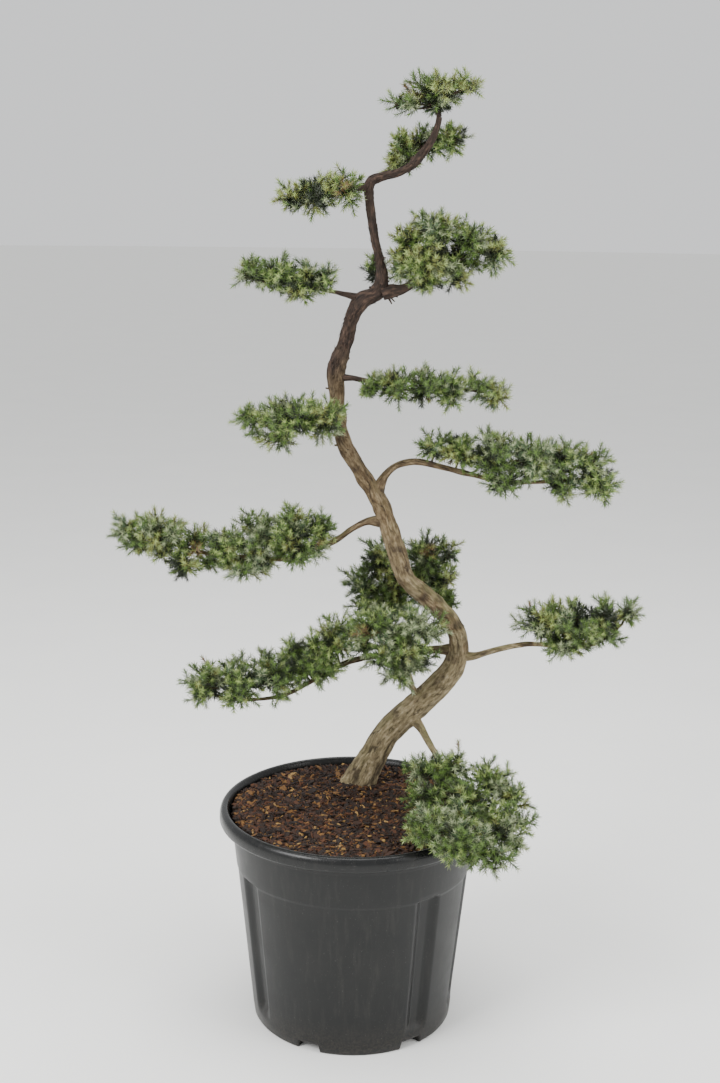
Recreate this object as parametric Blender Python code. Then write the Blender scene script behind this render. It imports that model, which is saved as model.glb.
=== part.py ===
"""A shore juniper grown as a cloud-pruned bonsai, standing in a black nursery pot.

Units are metres and +Z is up. The origin is the centre of the pot's flat underside. +X is to
the right of the plant's front and +Y is away from it. Lengths in the tables are millimetres.
"""

import math
import random

import bmesh
import bpy
import numpy as np
from mathutils import Vector

MM = 0.001
SEAT = 0.00035

# The pot: a fluted cup with a smooth collar and a heavy rolled lip.
POT_HEIGHT = 0.3486
POT_FOOT_RADIUS = 0.1587
POT_BODY_TOP_RADIUS = 0.1850
POT_COLLAR_RADIUS = 0.1925
POT_LIP_RADIUS = 0.2123
POT_LIP_INNER_RADIUS = 0.1995
POT_LIP_DROP = 0.0217
POT_WALL = 0.0035
POT_FLOOR = 0.0040
PANEL_MIDDLE = math.radians(-100.7)
PANEL_HALF_ANGLE = math.radians(42.0)
PANEL_ARCH_TOP = 0.2582
PANEL_ARCH_FOOT = 0.2559
FLUTES = ((42.0, 56.0), (80.0, 100.0), (124.0, 138.0))
FLUTE_DEPTH = 0.0085
FLUTE_FOOT = 0.038
FLUTE_RISE = 0.012
NOTCHES = 6
NOTCH_WIDTH_ANGLE = math.radians(13.0)
NOTCH_FIRST = math.radians(-114.5)
NOTCH_HEIGHT = 0.012
NOTCH_INNER_RADIUS = 0.138
EVEN_STEPS = 30
NOTCH_EDGE = math.radians(0.35)
FLUTE_EDGE = math.radians(1.0)
EDGE_CLEARANCE = math.radians(2.2)

SOIL_TOP = 0.3380
SOIL_SIDES = 36
SOIL_CLEARANCE = 0.0015

# The trunk's middle line and radius, from the cut at soil level to its tip.
TRUNK = [
    (8, 108, 338.35, 26.0), (14, 106, 356, 24.0), (30, 101, 389, 22.3), (55, 94, 436, 21.5),
    (98, 85, 482, 21.0), (133, 76, 521, 20.5), (154, 70, 552, 19.0), (162, 64, 581, 17.0),
    (160, 60, 612, 15.5), (143, 58, 642, 14.5), (112, 57, 671, 14.0), (77, 56, 703, 14.0),
    (64, 55, 739, 14.0), (51, 53, 778, 14.0), (33, 51, 827, 13.3), (3, 48, 874, 12.3),
    (-22, 46, 918, 11.5), (-31, 44, 964, 11.0), (-35, 42, 1003, 12.0), (-33, 40, 1039, 13.0),
    (-22, 38, 1074, 11.5), (-12, 36, 1110, 11.0), (2, 35, 1134, 12.5), (25, 34, 1148, 12.0),
    (32, 33, 1169, 9.5), (27, 32, 1199, 7.0), (21, 32, 1221, 6.3), (14, 31, 1263, 6.2),
    (11, 30, 1291, 7.2), (14, 30, 1308, 7.5), (30, 30, 1315, 6.6), (53, 29, 1321, 6.3),
    (73, 28, 1332, 6.3), (87, 27, 1348, 6.2), (100, 26, 1366, 5.6), (108, 25, 1386, 4.6),
    (111, 25, 1400, 4.2),
]
TRUNK_SIDES = 10
TRUNK_STEP = 0.030
FLARE_HEIGHT = 0.028
FLARE_GAIN = 0.32
FLARE_RIDGES = 3
FLARE_EVEN = 0.7
FLARE_WAVE = 0.5
FLARE_TURN = 0.6

# Each branch starts on the trunk's middle line. Its first points are the bare bough, and the
# rest are the stem inside the foliage. The radii are at the trunk and at the far end.
# Each lobe of foliage is x, y, z, half length and half height, and "depth" is its half depth
# over its half length.
BRANCHES = {
    "apex": {
        "bough": [(111, 25, 1400)], "tip": True, "radius": (4.1, 2.0), "depth": 1.15,
        "stem": [(107, 28, 1413), (107, 30, 1428)],
        "lobes": [(107, 35, 1435, 39, 24), (76, 25, 1421, 17, 12), (52, 20, 1416, 18, 10),
                  (152, 30, 1446, 17, 9), (109, 65, 1433, 29, 19), (107, 28, 1415, 17, 10)],
    },
    "below_apex": {
        "bough": [(77, 27, 1336)], "radius": (3.4, 1.8), "depth": 1.2,
        "stem": [(76, 50, 1345), (92, 78, 1358), (130, 82, 1367)],
        "lobes": [(68, 68, 1351, 21, 20), (60, 68, 1364, 12, 11), (82, 78, 1372, 18, 13),
                  (134, 72, 1371, 28, 18), (106, 82, 1366, 21, 18), (52, 60, 1336, 12, 7)],
    },
    "upper_left": {
        "bough": [(10, 30, 1300)], "radius": (3.8, 1.8), "depth": 1.35,
        "stem": [(-10, 30, 1298), (-58, 30, 1288), (-95, 30, 1282)],
        "lobes": [(-67, 32, 1290, 35, 26), (-25, 32, 1296, 25, 21), (-100, 32, 1283, 22, 15)],
    },
    "upper_right": {
        "bough": [(34, 34, 1146), (48, 32, 1150), (66, 30, 1154)], "radius": (7.0, 2.2),
        "depth": 1.5,
        "stem": [(98, 28, 1174), (135, 32, 1193), (180, 38, 1211)],
        "lobes": [(112, 35, 1242, 35, 22), (71, 30, 1232, 18, 19), (158, 40, 1227, 28, 20),
                  (194, 40, 1210, 26, 21), (95, 25, 1200, 41, 29), (143, 50, 1200, 32, 22),
                  (62, 35, 1193, 23, 28), (99, 25, 1170, 29, 15), (142, 20, 1172, 19, 16),
                  (19, 78, 1180, 11, 19)],
    },
    "left_upper": {
        "bough": [(5, 35, 1137), (-19, 33, 1143), (-38, 33, 1147)], "radius": (4.0, 1.9),
        "depth": 1.5,
        "stem": [(-72, 34, 1153), (-116, 34, 1158), (-156, 34, 1163)],
        "lobes": [(-162, 35, 1172, 25, 20), (-120, 35, 1171, 30, 24), (-92, 30, 1157, 33, 15),
                  (-80, 30, 1174, 13, 14), (-57, 35, 1167, 17, 17)],
    },
    "right_thin": {
        "bough": [(-34, 41, 1019), (-16, 36, 1019), (3, 31, 1017)], "radius": (3.6, 1.8),
        "depth": 1.5,
        "stem": [(61, 26, 1006), (107, 26, 1000), (152, 28, 1004), (200, 25, 1000)],
        "lobes": [(25, 28, 1014, 14, 11), (58, 28, 1011, 30, 19), (96, 25, 1009, 26, 25),
                  (138, 30, 1004, 25, 23), (178, 30, 1010, 23, 13), (205, 25, 997, 19, 16),
                  (14, 14, 1003, 12, 6)],
    },
    "left_middle": {
        "bough": [(-29, 43, 972)], "radius": (4.6, 1.8), "depth": 1.3,
        "stem": [(-46, 14, 970), (-73, -2, 961), (-121, -6, 954), (-163, -2, 956)],
        "lobes": [(-106, -3, 963, 49, 30), (-51, -14, 963, 30, 27), (-159, 4, 960, 24, 14),
                  (-118, -4, 936, 33, 14)],
    },
    "right_arch": {
        "bough": [(31, 51, 838), (35, 48, 856), (43, 44, 871), (58, 38, 885), (80, 34, 892),
                  (103, 32, 891), (128, 30, 885)],
        "radius": (5.8, 2.0), "depth": 1.5,
        "stem": [(171, 28, 875), (217, 26, 865), (277, 24, 865), (336, 26, 870), (369, 26, 875)],
        "lobes": [(118, 35, 917, 23, 15), (155, 30, 910, 29, 23), (207, 25, 906, 41, 35),
                  (260, 20, 903, 39, 33), (311, 30, 896, 34, 32), (353, 35, 896, 24, 22),
                  (364, 25, 865, 27, 25), (218, 5, 869, 25, 13), (308, 10, 862, 22, 15)],
    },
    "left_long": {
        "bough": [(42, 52, 795), (16, 50, 795), (-9, 46, 783), (-33, 42, 766)],
        "radius": (5.6, 2.0), "depth": 1.5,
        "stem": [(-66, 38, 751), (-112, 34, 737), (-182, 34, 739), (-244, 32, 747),
                 (-305, 34, 764), (-344, 32, 779)],
        "lobes": [(-354, 30, 785, 22, 12), (-308, 35, 780, 40, 25), (-268, 15, 735, 23, 22),
                  (-249, 40, 761, 28, 15), (-204, 40, 755, 34, 28), (-154, 40, 765, 40, 42),
                  (-101, 35, 783, 37, 33), (-88, 20, 759, 34, 18), (-59, 40, 786, 20, 21),
                  (-173, 20, 730, 37, 12), (-334, 28, 760, 22, 10)],
    },
    "back": {
        "bough": [(74, 56, 705), (73, 85, 698)], "radius": (5.0, 2.0), "depth": 1.3,
        "stem": [(69, 115, 685), (72, 145, 686), (98, 150, 695)],
        "lobes": [(37, 118, 718, 32, 30), (13, 118, 674, 29, 27), (62, 145, 665, 36, 32),
                  (111, 132, 723, 34, 33), (148, 125, 728, 15, 19), (139, 125, 686, 21, 24),
                  (111, 152, 666, 33, 33), (152, 118, 652, 11, 13)],
    },
    "front_low": {
        "bough": [(106, 86, 487), (98, 80, 503), (90, 66, 524), (85, 48, 547)],
        "radius": (5.4, 2.0), "depth": 1.1,
        "stem": [(75, 20, 580), (66, -4, 613), (64, -10, 637)],
        "lobes": [(33, -5, 641, 46, 26), (92, -16, 645, 37, 25), (64, -17, 616, 50, 15),
                  (84, 0, 582, 37, 13), (39, -10, 587, 22, 9), (66, 12, 557, 20, 7)],
    },
    "low_left": {
        "bough": [(159, 63, 584), (118, 74, 581), (62, 78, 572), (10, 60, 570), (-28, 38, 563)],
        "radius": (6.2, 2.2), "depth": 1.5,
        "stem": [(-72, 26, 540), (-117, 22, 518), (-182, 20, 511), (-226, 20, 519)],
        "lobes": [(-232, 20, 538, 33, 31), (-182, 20, 541, 44, 38), (-131, 20, 553, 41, 35),
                  (-80, 25, 571, 38, 24), (-32, 25, 611, 31, 36), (-99, 25, 596, 13, 16),
                  (-69, 20, 605, 14, 19), (-52, 10, 568, 27, 15)],
    },
    "low_right": {
        "bough": [(164, 65, 574), (187, 56, 577), (207, 50, 585), (232, 45, 594), (258, 40, 601),
                  (279, 36, 604)],
        "radius": (5.4, 2.0), "depth": 1.4,
        "stem": [(320, 32, 603), (367, 30, 605), (391, 30, 619), (415, 30, 640)],
        "lobes": [(290, 30, 643, 35, 25), (338, 30, 641, 44, 35), (388, 30, 650, 34, 28),
                  (420, 30, 660, 18, 17), (325, 20, 610, 36, 11), (380, 20, 627, 26, 15)],
    },
    "front_right": {
        "bough": [(90, 86, 465), (105, 70, 452), (117, 50, 436), (129, 22, 423)],
        "radius": (6.4, 2.2), "depth": 1.25,
        "stem": [(140, -20, 410), (151, -70, 398), (164, -120, 388), (172, -160, 378)],
        "lobes": [(120, -40, 421, 42, 14), (154, -60, 441, 18, 21), (207, -75, 420, 34, 20),
                  (242, -85, 400, 24, 24), (115, -90, 397, 33, 24), (168, -105, 399, 42, 28),
                  (255, -130, 374, 16, 18), (222, -150, 374, 34, 30), (113, -170, 381, 35, 24),
                  (158, -195, 379, 41, 28), (240, -165, 350, 18, 16), (212, -214, 352, 24, 17)],
    },
}
BOUGH_SIDES = 6
STEM_SIDES = 5
TWIG_SIDES = 3
LIMB_STEP = 0.030
LIMB_PROBE = 0.006
TWIG_RADIUS = (0.0022, 0.0012)
TWIG_SAG = 0.15
TWIG_DROP = 0.2
ON_STEM = 0.35
CORE_SHARE = 0.86
CORE_LATITUDE = 28.0
CORE_WOBBLE = (0.92, 1.08)
TIP_SPREAD = (0.6, 1.4)
SMALL_LOBE = 0.030
TIP_REACH = (1.00, 1.20)
SPRAYS_PER_M2 = 30.0
SPRAY_WIDTH = 0.0075
SPRAY_WAIST = 0.4
SPRAY_ROOT = 0.45
SPRAY_REACH = (1.0, 1.12)
SPRAY_LIFT = 0.12
UNDERSIDE = -0.55
HIDDEN_SHARE = 1.02
DRAWN_IN = (1.0, 0.9, 0.8, 0.7, 0.6, 0.5)
NEIGHBOUR_MARGIN = 0.10
LIMB_MARGIN = 0.011
POT_MARGIN = 0.006


def clear_scene():
    for item in list(bpy.data.objects):
        bpy.data.objects.remove(item, do_unlink=True)


def material(name, colour, roughness):
    made = bpy.data.materials.new(name)
    made.use_nodes = True
    shader = made.node_tree.nodes["Principled BSDF"]
    shader.inputs["Base Color"].default_value = (*colour, 1.0)
    shader.inputs["Roughness"].default_value = roughness
    shader.inputs["Metallic"].default_value = 0.0
    return made


def add_object(name, verts, faces, finish):
    """A mesh object from points and faces."""
    mesh = bpy.data.meshes.new(name)
    mesh.from_pydata([tuple(v) for v in verts], [], [tuple(f) for f in faces])
    mesh.update()
    made = bpy.data.objects.new(name, mesh)
    bpy.context.scene.collection.objects.link(made)
    made.data.materials.append(finish)
    return made


def smooth_path(points, step):
    """Points about one step apart on a Catmull-Rom curve through the given rows."""
    rows = np.array(points, float)
    rows = np.vstack([2 * rows[0] - rows[1], rows, 2 * rows[-1] - rows[-2]])
    out = []
    for a, b, c, d in zip(rows[:-3], rows[1:-2], rows[2:-1], rows[3:]):
        parts = max(2, math.ceil(np.linalg.norm((c - b)[:3]) / step))
        for t in np.arange(parts) / parts:
            out.append(0.5 * (2 * b + (c - a) * t + (2 * a - 5 * b + 4 * c - d) * t * t
                              + (3 * b - a - 3 * c + d) * t ** 3))
    out.append(rows[-2])
    return np.array(out)


def thinned(path, step):
    """The path with points closer than a step taken out, and both ends kept."""
    kept = [path[0]]
    for point in path[1:-1]:
        far_from_last = np.linalg.norm((point - kept[-1])[:3]) >= step
        far_from_end = np.linalg.norm((path[-1] - point)[:3]) >= 0.6 * step
        if far_from_last and far_from_end:
            kept.append(point)
    kept.append(path[-1])
    return np.array(kept)


def tangents(path):
    along = np.gradient(path[:, :3], axis=0)
    return along / np.linalg.norm(along, axis=1, keepdims=True)


def tube(path, radii, sides, along=None, shape=None):
    """Closed rings of points round a path, square to it or to the given directions."""
    if along is None:
        along = tangents(path)
    side = Vector((0.0, 1.0, 0.0))
    verts = []
    for k, (point, ahead) in enumerate(zip(path[:, :3], along)):
        ahead = Vector(ahead)
        side = (side - ahead * side.dot(ahead)).normalized()
        other = ahead.cross(side)
        for s in range(sides):
            angle = math.tau * s / sides
            radius = float(radii[k]) * (shape(k, angle) if shape else 1.0)
            verts.append(Vector(point) + radius * (math.cos(angle) * side
                                                   + math.sin(angle) * other))
    return verts, ring_faces(len(path), sides)


def ring_faces(rings, sides):
    """Side faces between rings and a flat cap at each end, all facing outwards."""
    faces = [tuple(reversed(range(sides)))]
    for k in range(rings - 1):
        for s in range(sides):
            t = (s + 1) % sides
            faces.append((k * sides + s, k * sides + t, (k + 1) * sides + t, (k + 1) * sides + s))
    faces.append(tuple(range((rings - 1) * sides, rings * sides)))
    return faces


def tapered(path, first, last):
    """Radii that fall evenly with the distance along the path."""
    steps = np.linalg.norm(np.diff(path[:, :3], axis=0), axis=1)
    share = np.concatenate([[0.0], np.cumsum(steps)]) / steps.sum()
    return first + (last - first) * share


def body_radius(angle, z):
    """The pot's outer wall: a cone, drawn in under the collar and along the flutes."""
    cone = POT_FOOT_RADIUS + (POT_BODY_TOP_RADIUS - POT_FOOT_RADIUS) * z / PANEL_ARCH_TOP
    return cone - FLUTE_DEPTH * flute_share(angle) * rise(z, FLUTE_FOOT - FLUTE_RISE, FLUTE_FOOT)


def rise(value, low, high):
    return min(1.0, max(0.0, (value - low) / (high - low)))


def panel_offset(angle):
    """Degrees past the middle of a wide panel: there is one every half turn."""
    return math.degrees(angle - PANEL_MIDDLE) % 180.0


def flute_share(angle):
    """One inside a flute and nought outside it, with a slope of two degrees."""
    turn = panel_offset(angle)
    share = 0.0
    for first, last in FLUTES:
        share = max(share, min(rise(turn, first, first + 2.0), 1.0 - rise(turn, last - 2.0, last)))
    return share


def arch_height(angle):
    """Where the collar's lower edge lies: highest over the middle of a wide panel."""
    turn = panel_offset(angle)
    turn = min(turn, 180.0 - turn)
    share = min(1.0, math.radians(turn) / PANEL_HALF_ANGLE)
    return PANEL_ARCH_TOP - (PANEL_ARCH_TOP - PANEL_ARCH_FOOT) * share ** 2


def in_notch(angle):
    turn = (angle - NOTCH_FIRST + math.pi / NOTCHES) % (math.tau / NOTCHES) - math.pi / NOTCHES
    return abs(turn) < NOTCH_WIDTH_ANGLE / 2


def pot_angles():
    """Even steps, with two close ones at each side of every notch and flute."""
    angles = {round(math.tau * k / EVEN_STEPS, 6) for k in range(EVEN_STEPS)}
    edges = []
    for k in range(NOTCHES):
        middle = NOTCH_FIRST + k * math.tau / NOTCHES
        edges.append((middle - NOTCH_WIDTH_ANGLE / 2, NOTCH_EDGE))
        edges.append((middle + NOTCH_WIDTH_ANGLE / 2, NOTCH_EDGE))
    for panel in (PANEL_MIDDLE, PANEL_MIDDLE + math.pi):
        for first, last in FLUTES:
            edges.append((panel + math.radians(first) + FLUTE_EDGE, FLUTE_EDGE))
            edges.append((panel + math.radians(last) - FLUTE_EDGE, FLUTE_EDGE))
    for middle, half_width in edges:
        middle %= math.tau
        angles = {a for a in angles if abs(a - middle) > EDGE_CLEARANCE}
        angles.add(round((middle - half_width) % math.tau, 6))
        angles.add(round((middle + half_width) % math.tau, 6))
    return sorted(angles)


def collar_radius(z):
    share = rise(z, PANEL_ARCH_FOOT, POT_HEIGHT - POT_LIP_DROP)
    return POT_BODY_TOP_RADIUS + 0.001 + (POT_COLLAR_RADIUS - POT_BODY_TOP_RADIUS) * share


def outer_profile(angle):
    """Radius and height of the pot's outside from its underside to the top of the lip."""
    lift = NOTCH_HEIGHT if in_notch(angle) else 0.0
    arch = arch_height(angle)
    under_lip = POT_HEIGHT - POT_LIP_DROP
    rows = [(NOTCH_INNER_RADIUS, 0.0), (NOTCH_INNER_RADIUS + 0.0005, lift),
            (POT_FOOT_RADIUS - 0.003, lift)]
    for z in (lift + 0.004, FLUTE_FOOT - FLUTE_RISE, FLUTE_FOOT, arch - 0.012):
        rows.append((body_radius(angle, z), z))
    rows += [(collar_radius(arch), arch), (collar_radius(under_lip), under_lip),
             (POT_LIP_RADIUS, under_lip + 0.001), (POT_LIP_RADIUS - 0.0005, under_lip + 0.012),
             (POT_LIP_RADIUS - 0.005, POT_HEIGHT), (POT_LIP_INNER_RADIUS, POT_HEIGHT - 0.0005)]
    return rows


def inner_profile(angle):
    """Radius and height of the pot's inside from under the lip to the edge of the floor."""
    arch = arch_height(angle)
    rows = [(POT_LIP_INNER_RADIUS - 0.003, POT_HEIGHT - 0.008),
            (collar_radius(arch) - POT_WALL, arch + 0.002)]
    for z in (arch - 0.014, FLUTE_FOOT):
        rows.append((body_radius(angle, z) - POT_WALL, z))
    rows.append((POT_FOOT_RADIUS - 2 * POT_WALL, NOTCH_HEIGHT + POT_FLOOR))
    rows.append((NOTCH_INNER_RADIUS - 0.010, POT_FLOOR))
    return rows


def turned(angles, profile):
    """Rings of points, one for each row of the profile, with the angles in order."""
    columns = [profile(angle) for angle in angles]
    verts = []
    for row in range(len(columns[0])):
        for angle, column in zip(angles, columns):
            radius, z = column[row]
            verts.append((radius * math.cos(angle), radius * math.sin(angle), z))
    return verts, ring_faces(len(columns[0]), len(angles))


def make_pot(finish):
    angles = pot_angles()

    def whole(angle):
        return outer_profile(angle) + inner_profile(angle)

    verts, faces = turned(angles, whole)
    return add_object("pot", verts, faces, finish)


def make_soil(finish):
    """The potting mix: it stands on the pot's floor, inside the flutes, and fills the collar."""
    angles = [math.tau * k / SOIL_SIDES for k in range(SOIL_SIDES)]
    inset = POT_WALL + SOIL_CLEARANCE
    fluted = inset + FLUTE_DEPTH
    foot = POT_FLOOR + SEAT
    slope = (POT_BODY_TOP_RADIUS - POT_FOOT_RADIUS) / PANEL_ARCH_TOP
    rows = [(NOTCH_INNER_RADIUS - 0.012, foot),
            (POT_FOOT_RADIUS - fluted + slope * FLUTE_FOOT, FLUTE_FOOT),
            (POT_FOOT_RADIUS - fluted + slope * PANEL_ARCH_FOOT, PANEL_ARCH_FOOT - 0.010),
            (collar_radius(PANEL_ARCH_TOP) - inset, PANEL_ARCH_TOP + 0.010),
            (POT_LIP_INNER_RADIUS - 0.003 - SOIL_CLEARANCE, SOIL_TOP)]
    verts, faces = turned(angles, lambda angle: rows)
    return add_object("potting_mix", verts, faces, finish)


def trunk_path():
    path = smooth_path(np.array(TRUNK) * MM, TRUNK_STEP)
    return thinned(path, 0.7 * TRUNK_STEP)


def make_trunk_tube(extra):
    """The trunk's rings, swollen by a little extra for a cutter."""
    path = trunk_path()

    def flare(k, angle):
        near = math.exp((path[0, 2] - path[k, 2]) / FLARE_HEIGHT)
        ridge = FLARE_EVEN + FLARE_WAVE * math.cos(FLARE_RIDGES * angle + FLARE_TURN)
        return 1.0 + FLARE_GAIN * near * ridge

    along = tangents(path)
    along[0] = (0.0, 0.0, 1.0)
    return tube(path, path[:, 3] + extra, TRUNK_SIDES, along, flare)


def make_trunk(finish):
    verts, faces = make_trunk_tube(0.0)
    return add_object("trunk", verts, faces, finish)


def boolean(target, operation, solver, cutter=None, collection=None):
    """Apply one Boolean to the target and put the result in its place."""
    modifier = target.modifiers.new("join", "BOOLEAN")
    modifier.operation = operation
    modifier.solver = solver
    if collection:
        modifier.operand_type = "COLLECTION"
        modifier.collection = collection
    else:
        modifier.object = cutter
    graph = bpy.context.evaluated_depsgraph_get()
    result = bpy.data.meshes.new_from_object(target.evaluated_get(graph))
    target.modifiers.clear()
    target.data = result


def keep_main_body(target):
    """Keep the largest closed piece: scraps go, and so do the walls of sealed hollows."""
    mesh = bmesh.new()
    mesh.from_mesh(target.data)
    bmesh.ops.triangulate(mesh, faces=mesh.faces[:])
    bmesh.ops.remove_doubles(mesh, verts=mesh.verts[:], dist=0.000002)
    left = set(mesh.faces)
    pieces = []
    while left:
        piece = {left.pop()}
        front = list(piece)
        while front:
            face = front.pop()
            for edge in face.edges:
                for other in edge.link_faces:
                    if other in left:
                        left.discard(other)
                        piece.add(other)
                        front.append(other)
        volume = sum(f.verts[0].co.dot(f.verts[1].co.cross(f.verts[2].co)) for f in piece) / 6
        pieces.append((volume, piece))
    pieces.sort(key=lambda entry: -entry[0])
    for _, piece in pieces[1:]:
        bmesh.ops.delete(mesh, geom=list(piece), context="FACES")
    loose = [v for v in mesh.verts if not v.link_faces]
    bmesh.ops.delete(mesh, geom=loose, context="VERTS")
    mesh.to_mesh(target.data)
    mesh.free()


class Branch:
    """One branch's measured sizes in metres: its whole route, its bough and its lobes."""

    def __init__(self, name, row):
        self.name = name
        self.lobes = [(np.array((x, y, z)) * MM, np.array((a, a * row["depth"], h)) * MM)
                      for x, y, z, a, h in row["lobes"]]
        bough = smooth_path(np.array(row["bough"] + row["stem"]) * MM, LIMB_STEP)
        end = np.array(row["bough"][-1]) * MM
        self.split = int(np.argmin(np.linalg.norm(bough - end, axis=1)))
        self.route = bough
        first, last = (r * MM for r in row["radius"])
        self.radii = tapered(bough, first, last)
        self.has_bough = len(row["bough"]) > 1
        self.on_tip = row.get("tip", False)
        self.along = tangents(bough)
        if self.on_tip:
            self.along[0] = tangents(trunk_path())[-1]
        self.seed = sum(ord(letter) * (k + 1) for k, letter in enumerate(name))

    def bough(self):
        """The bough's path, radii and directions."""
        rows = slice(0, self.split + 1)
        return self.route[rows], self.radii[rows], self.along[rows]

    def stem(self):
        """The same for the stem, which starts a seat's width past the bough's end."""
        path = self.route[self.split:].copy()
        if self.has_bough or self.on_tip:
            path[0] = path[0] + self.along[self.split] * SEAT
        return path, self.radii[self.split:], self.along[self.split:]


def reach(point, lobes):
    """How far out a point lies in the nearest lobe: one on its surface, nought at its middle."""
    return min(np.linalg.norm((point - centre) / half) for centre, half in lobes)


class Limbs:
    """Points and radii along the trunk and all boughs, to keep foliage off them."""

    def __init__(self, branches):
        trunk = smooth_path(trunk_path(), LIMB_PROBE)
        points, radii = [trunk[:, :3]], [trunk[:, 3]]
        for branch in branches:
            if branch.has_bough:
                path = smooth_path(branch.bough()[0], LIMB_PROBE)
                points.append(path)
                radii.append(np.full(len(path), branch.radii[0]))
        self.points = np.vstack(points)
        self.radii = np.concatenate(radii)

    def clearance(self, point):
        return float(np.min(np.linalg.norm(self.points - point, axis=1) - self.radii))


def clear_of_pot(point):
    off_axis = math.hypot(point[0], point[1])
    return off_axis > POT_LIP_RADIUS + POT_MARGIN or point[2] > POT_HEIGHT + POT_MARGIN


def golden_direction(k, count, turn):
    """The k-th of count directions spread evenly over a sphere."""
    z = 1.0 - 2.0 * (k + 0.5) / count
    angle = turn + k * math.pi * (3.0 - math.sqrt(5.0))
    flat = math.sqrt(1.0 - z * z)
    return np.array((flat * math.cos(angle), flat * math.sin(angle), z))


def lobe_area(half):
    """Knud Thomsen's formula for the surface of an ellipsoid."""
    p = 1.6075
    a, b, c = half
    return 4 * math.pi * (((a * b) ** p + (a * c) ** p + (b * c) ** p) / 3) ** (1 / p)


def drawn_in(point, centre, fits):
    """The point moved towards the lobe's centre, as far as it has to be to fit."""
    for share in DRAWN_IN:
        moved = centre + (point - centre) * share
        if fits(moved):
            return moved
    return moved


def core(centre, half, neighbours, fits, rng):
    """A faceted ellipsoid with a point of needles drawn out of each facet.

    Two rings of points lie between two poles. Each facet is raised to a tip near the lobe's
    own surface, a little off its middle, unless the tip would be hidden or doesn't fit.
    """
    sides = 5 if max(half) < SMALL_LOBE else 7
    verts = [centre - half * (0, 0, CORE_SHARE)]
    for level, twist in ((-CORE_LATITUDE, 0.0), (CORE_LATITUDE, 0.5)):
        for s in range(sides):
            angle = math.tau * (s + twist) / sides
            flat = CORE_SHARE * math.cos(math.radians(level)) * rng.uniform(*CORE_WOBBLE)
            up = CORE_SHARE * math.sin(math.radians(level))
            verts.append(centre + half * (flat * math.cos(angle), flat * math.sin(angle), up))
    last = 2 * sides + 1
    verts.append(centre + half * (0, 0, CORE_SHARE))
    verts = [drawn_in(point, centre, fits) for point in verts]
    facets = []
    for s in range(sides):
        t = (s + 1) % sides
        facets.append((0, 1 + t, 1 + s))
        facets.append((1 + s, 1 + t, 1 + sides + s))
        facets.append((1 + t, 1 + sides + t, 1 + sides + s))
        facets.append((last, 1 + sides + s, 1 + sides + t))
    faces = []
    for a, b, c in facets:
        share = [rng.uniform(*TIP_SPREAD) for _ in range(3)]
        middle = (verts[a] * share[0] + verts[b] * share[1] + verts[c] * share[2]) / sum(share)
        out = (middle - centre) / half
        out *= rng.uniform(*TIP_REACH) / np.linalg.norm(out)
        point = centre + half * out
        if reach(point, neighbours) < HIDDEN_SHARE or not fits(point):
            faces.append((a, b, c))
            continue
        tip = len(verts)
        verts.append(point)
        faces += [(a, b, tip), (b, c, tip), (c, a, tip)]
    return verts, faces


def spray(root, tip, rng):
    """A spray of needles as a slim three-sided spindle, widest halfway out."""
    ahead = Vector(tip - root)
    length = ahead.length
    ahead.normalize()
    side = ahead.orthogonal().normalized()
    other = ahead.cross(side)
    middle = Vector(root) + ahead * length * SPRAY_WAIST
    width = SPRAY_WIDTH * rng.uniform(0.85, 1.2)
    turn = rng.uniform(0.0, math.tau)
    verts = [Vector(root)]
    for s in range(3):
        angle = turn + math.tau * s / 3
        verts.append(middle + width * (math.cos(angle) * side + math.sin(angle) * other))
    verts.append(Vector(tip))
    faces = []
    for s in range(3):
        t = (s + 1) % 3
        faces.append((0, 1 + t, 1 + s))
        faces.append((4, 1 + s, 1 + t))
    return verts, faces


def lobe_twig(stem, centre, half):
    """A twig from the stem to the heart of a lobe, or nothing where the stem runs through it."""
    spacing = np.linalg.norm((stem - centre) / half, axis=1)
    if spacing.min() < ON_STEM:
        return None
    start = stem[max(1, int(np.argmin(np.linalg.norm(stem - centre, axis=1))) - 1)]
    end = centre - half * (0, 0, TWIG_DROP)
    bend = 0.5 * (start + end) - np.array((0, 0, TWIG_SAG)) * np.linalg.norm(end - start)
    path = np.array([(1 - t) ** 2 * start + 2 * t * (1 - t) * bend + t * t * end
                     for t in (0.0, 0.5, 1.0)])
    return tube(path, tapered(path, *TWIG_RADIUS), TWIG_SIDES)


def place_sprays(branch, fits, rng):
    """Root and tip of each spray: spread over each lobe, and kept in the mass's own space."""
    placed = []
    for centre, half in branch.lobes:
        count = max(0, round(SPRAYS_PER_M2 * lobe_area(half)))
        turn = rng.uniform(0.0, math.tau)
        for k in range(count):
            out = golden_direction(k, count, turn)
            tip = centre + half * out * rng.uniform(*SPRAY_REACH)
            root = centre + half * out * SPRAY_ROOT
            root[2] -= SPRAY_LIFT * half[2]
            hidden = any(np.linalg.norm((tip - c) / h) < HIDDEN_SHARE
                         for c, h in branch.lobes if c is not centre)
            if hidden or (out[2] < UNDERSIDE and k % 2):
                continue
            if all(fits(root + (tip - root) * t) for t in (0.2, 0.4, 0.6, 0.8, 1.0)):
                placed.append((root, tip))
    return placed


def allowed(point, branch, others, limbs):
    """True where a point is clear of limbs, pot and the neighbouring masses."""
    if limbs.clearance(point) < LIMB_MARGIN or not clear_of_pot(point):
        return False
    own = reach(point, branch.lobes)
    return all(reach(point, other.lobes) > own + NEIGHBOUR_MARGIN for other in others)


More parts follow.
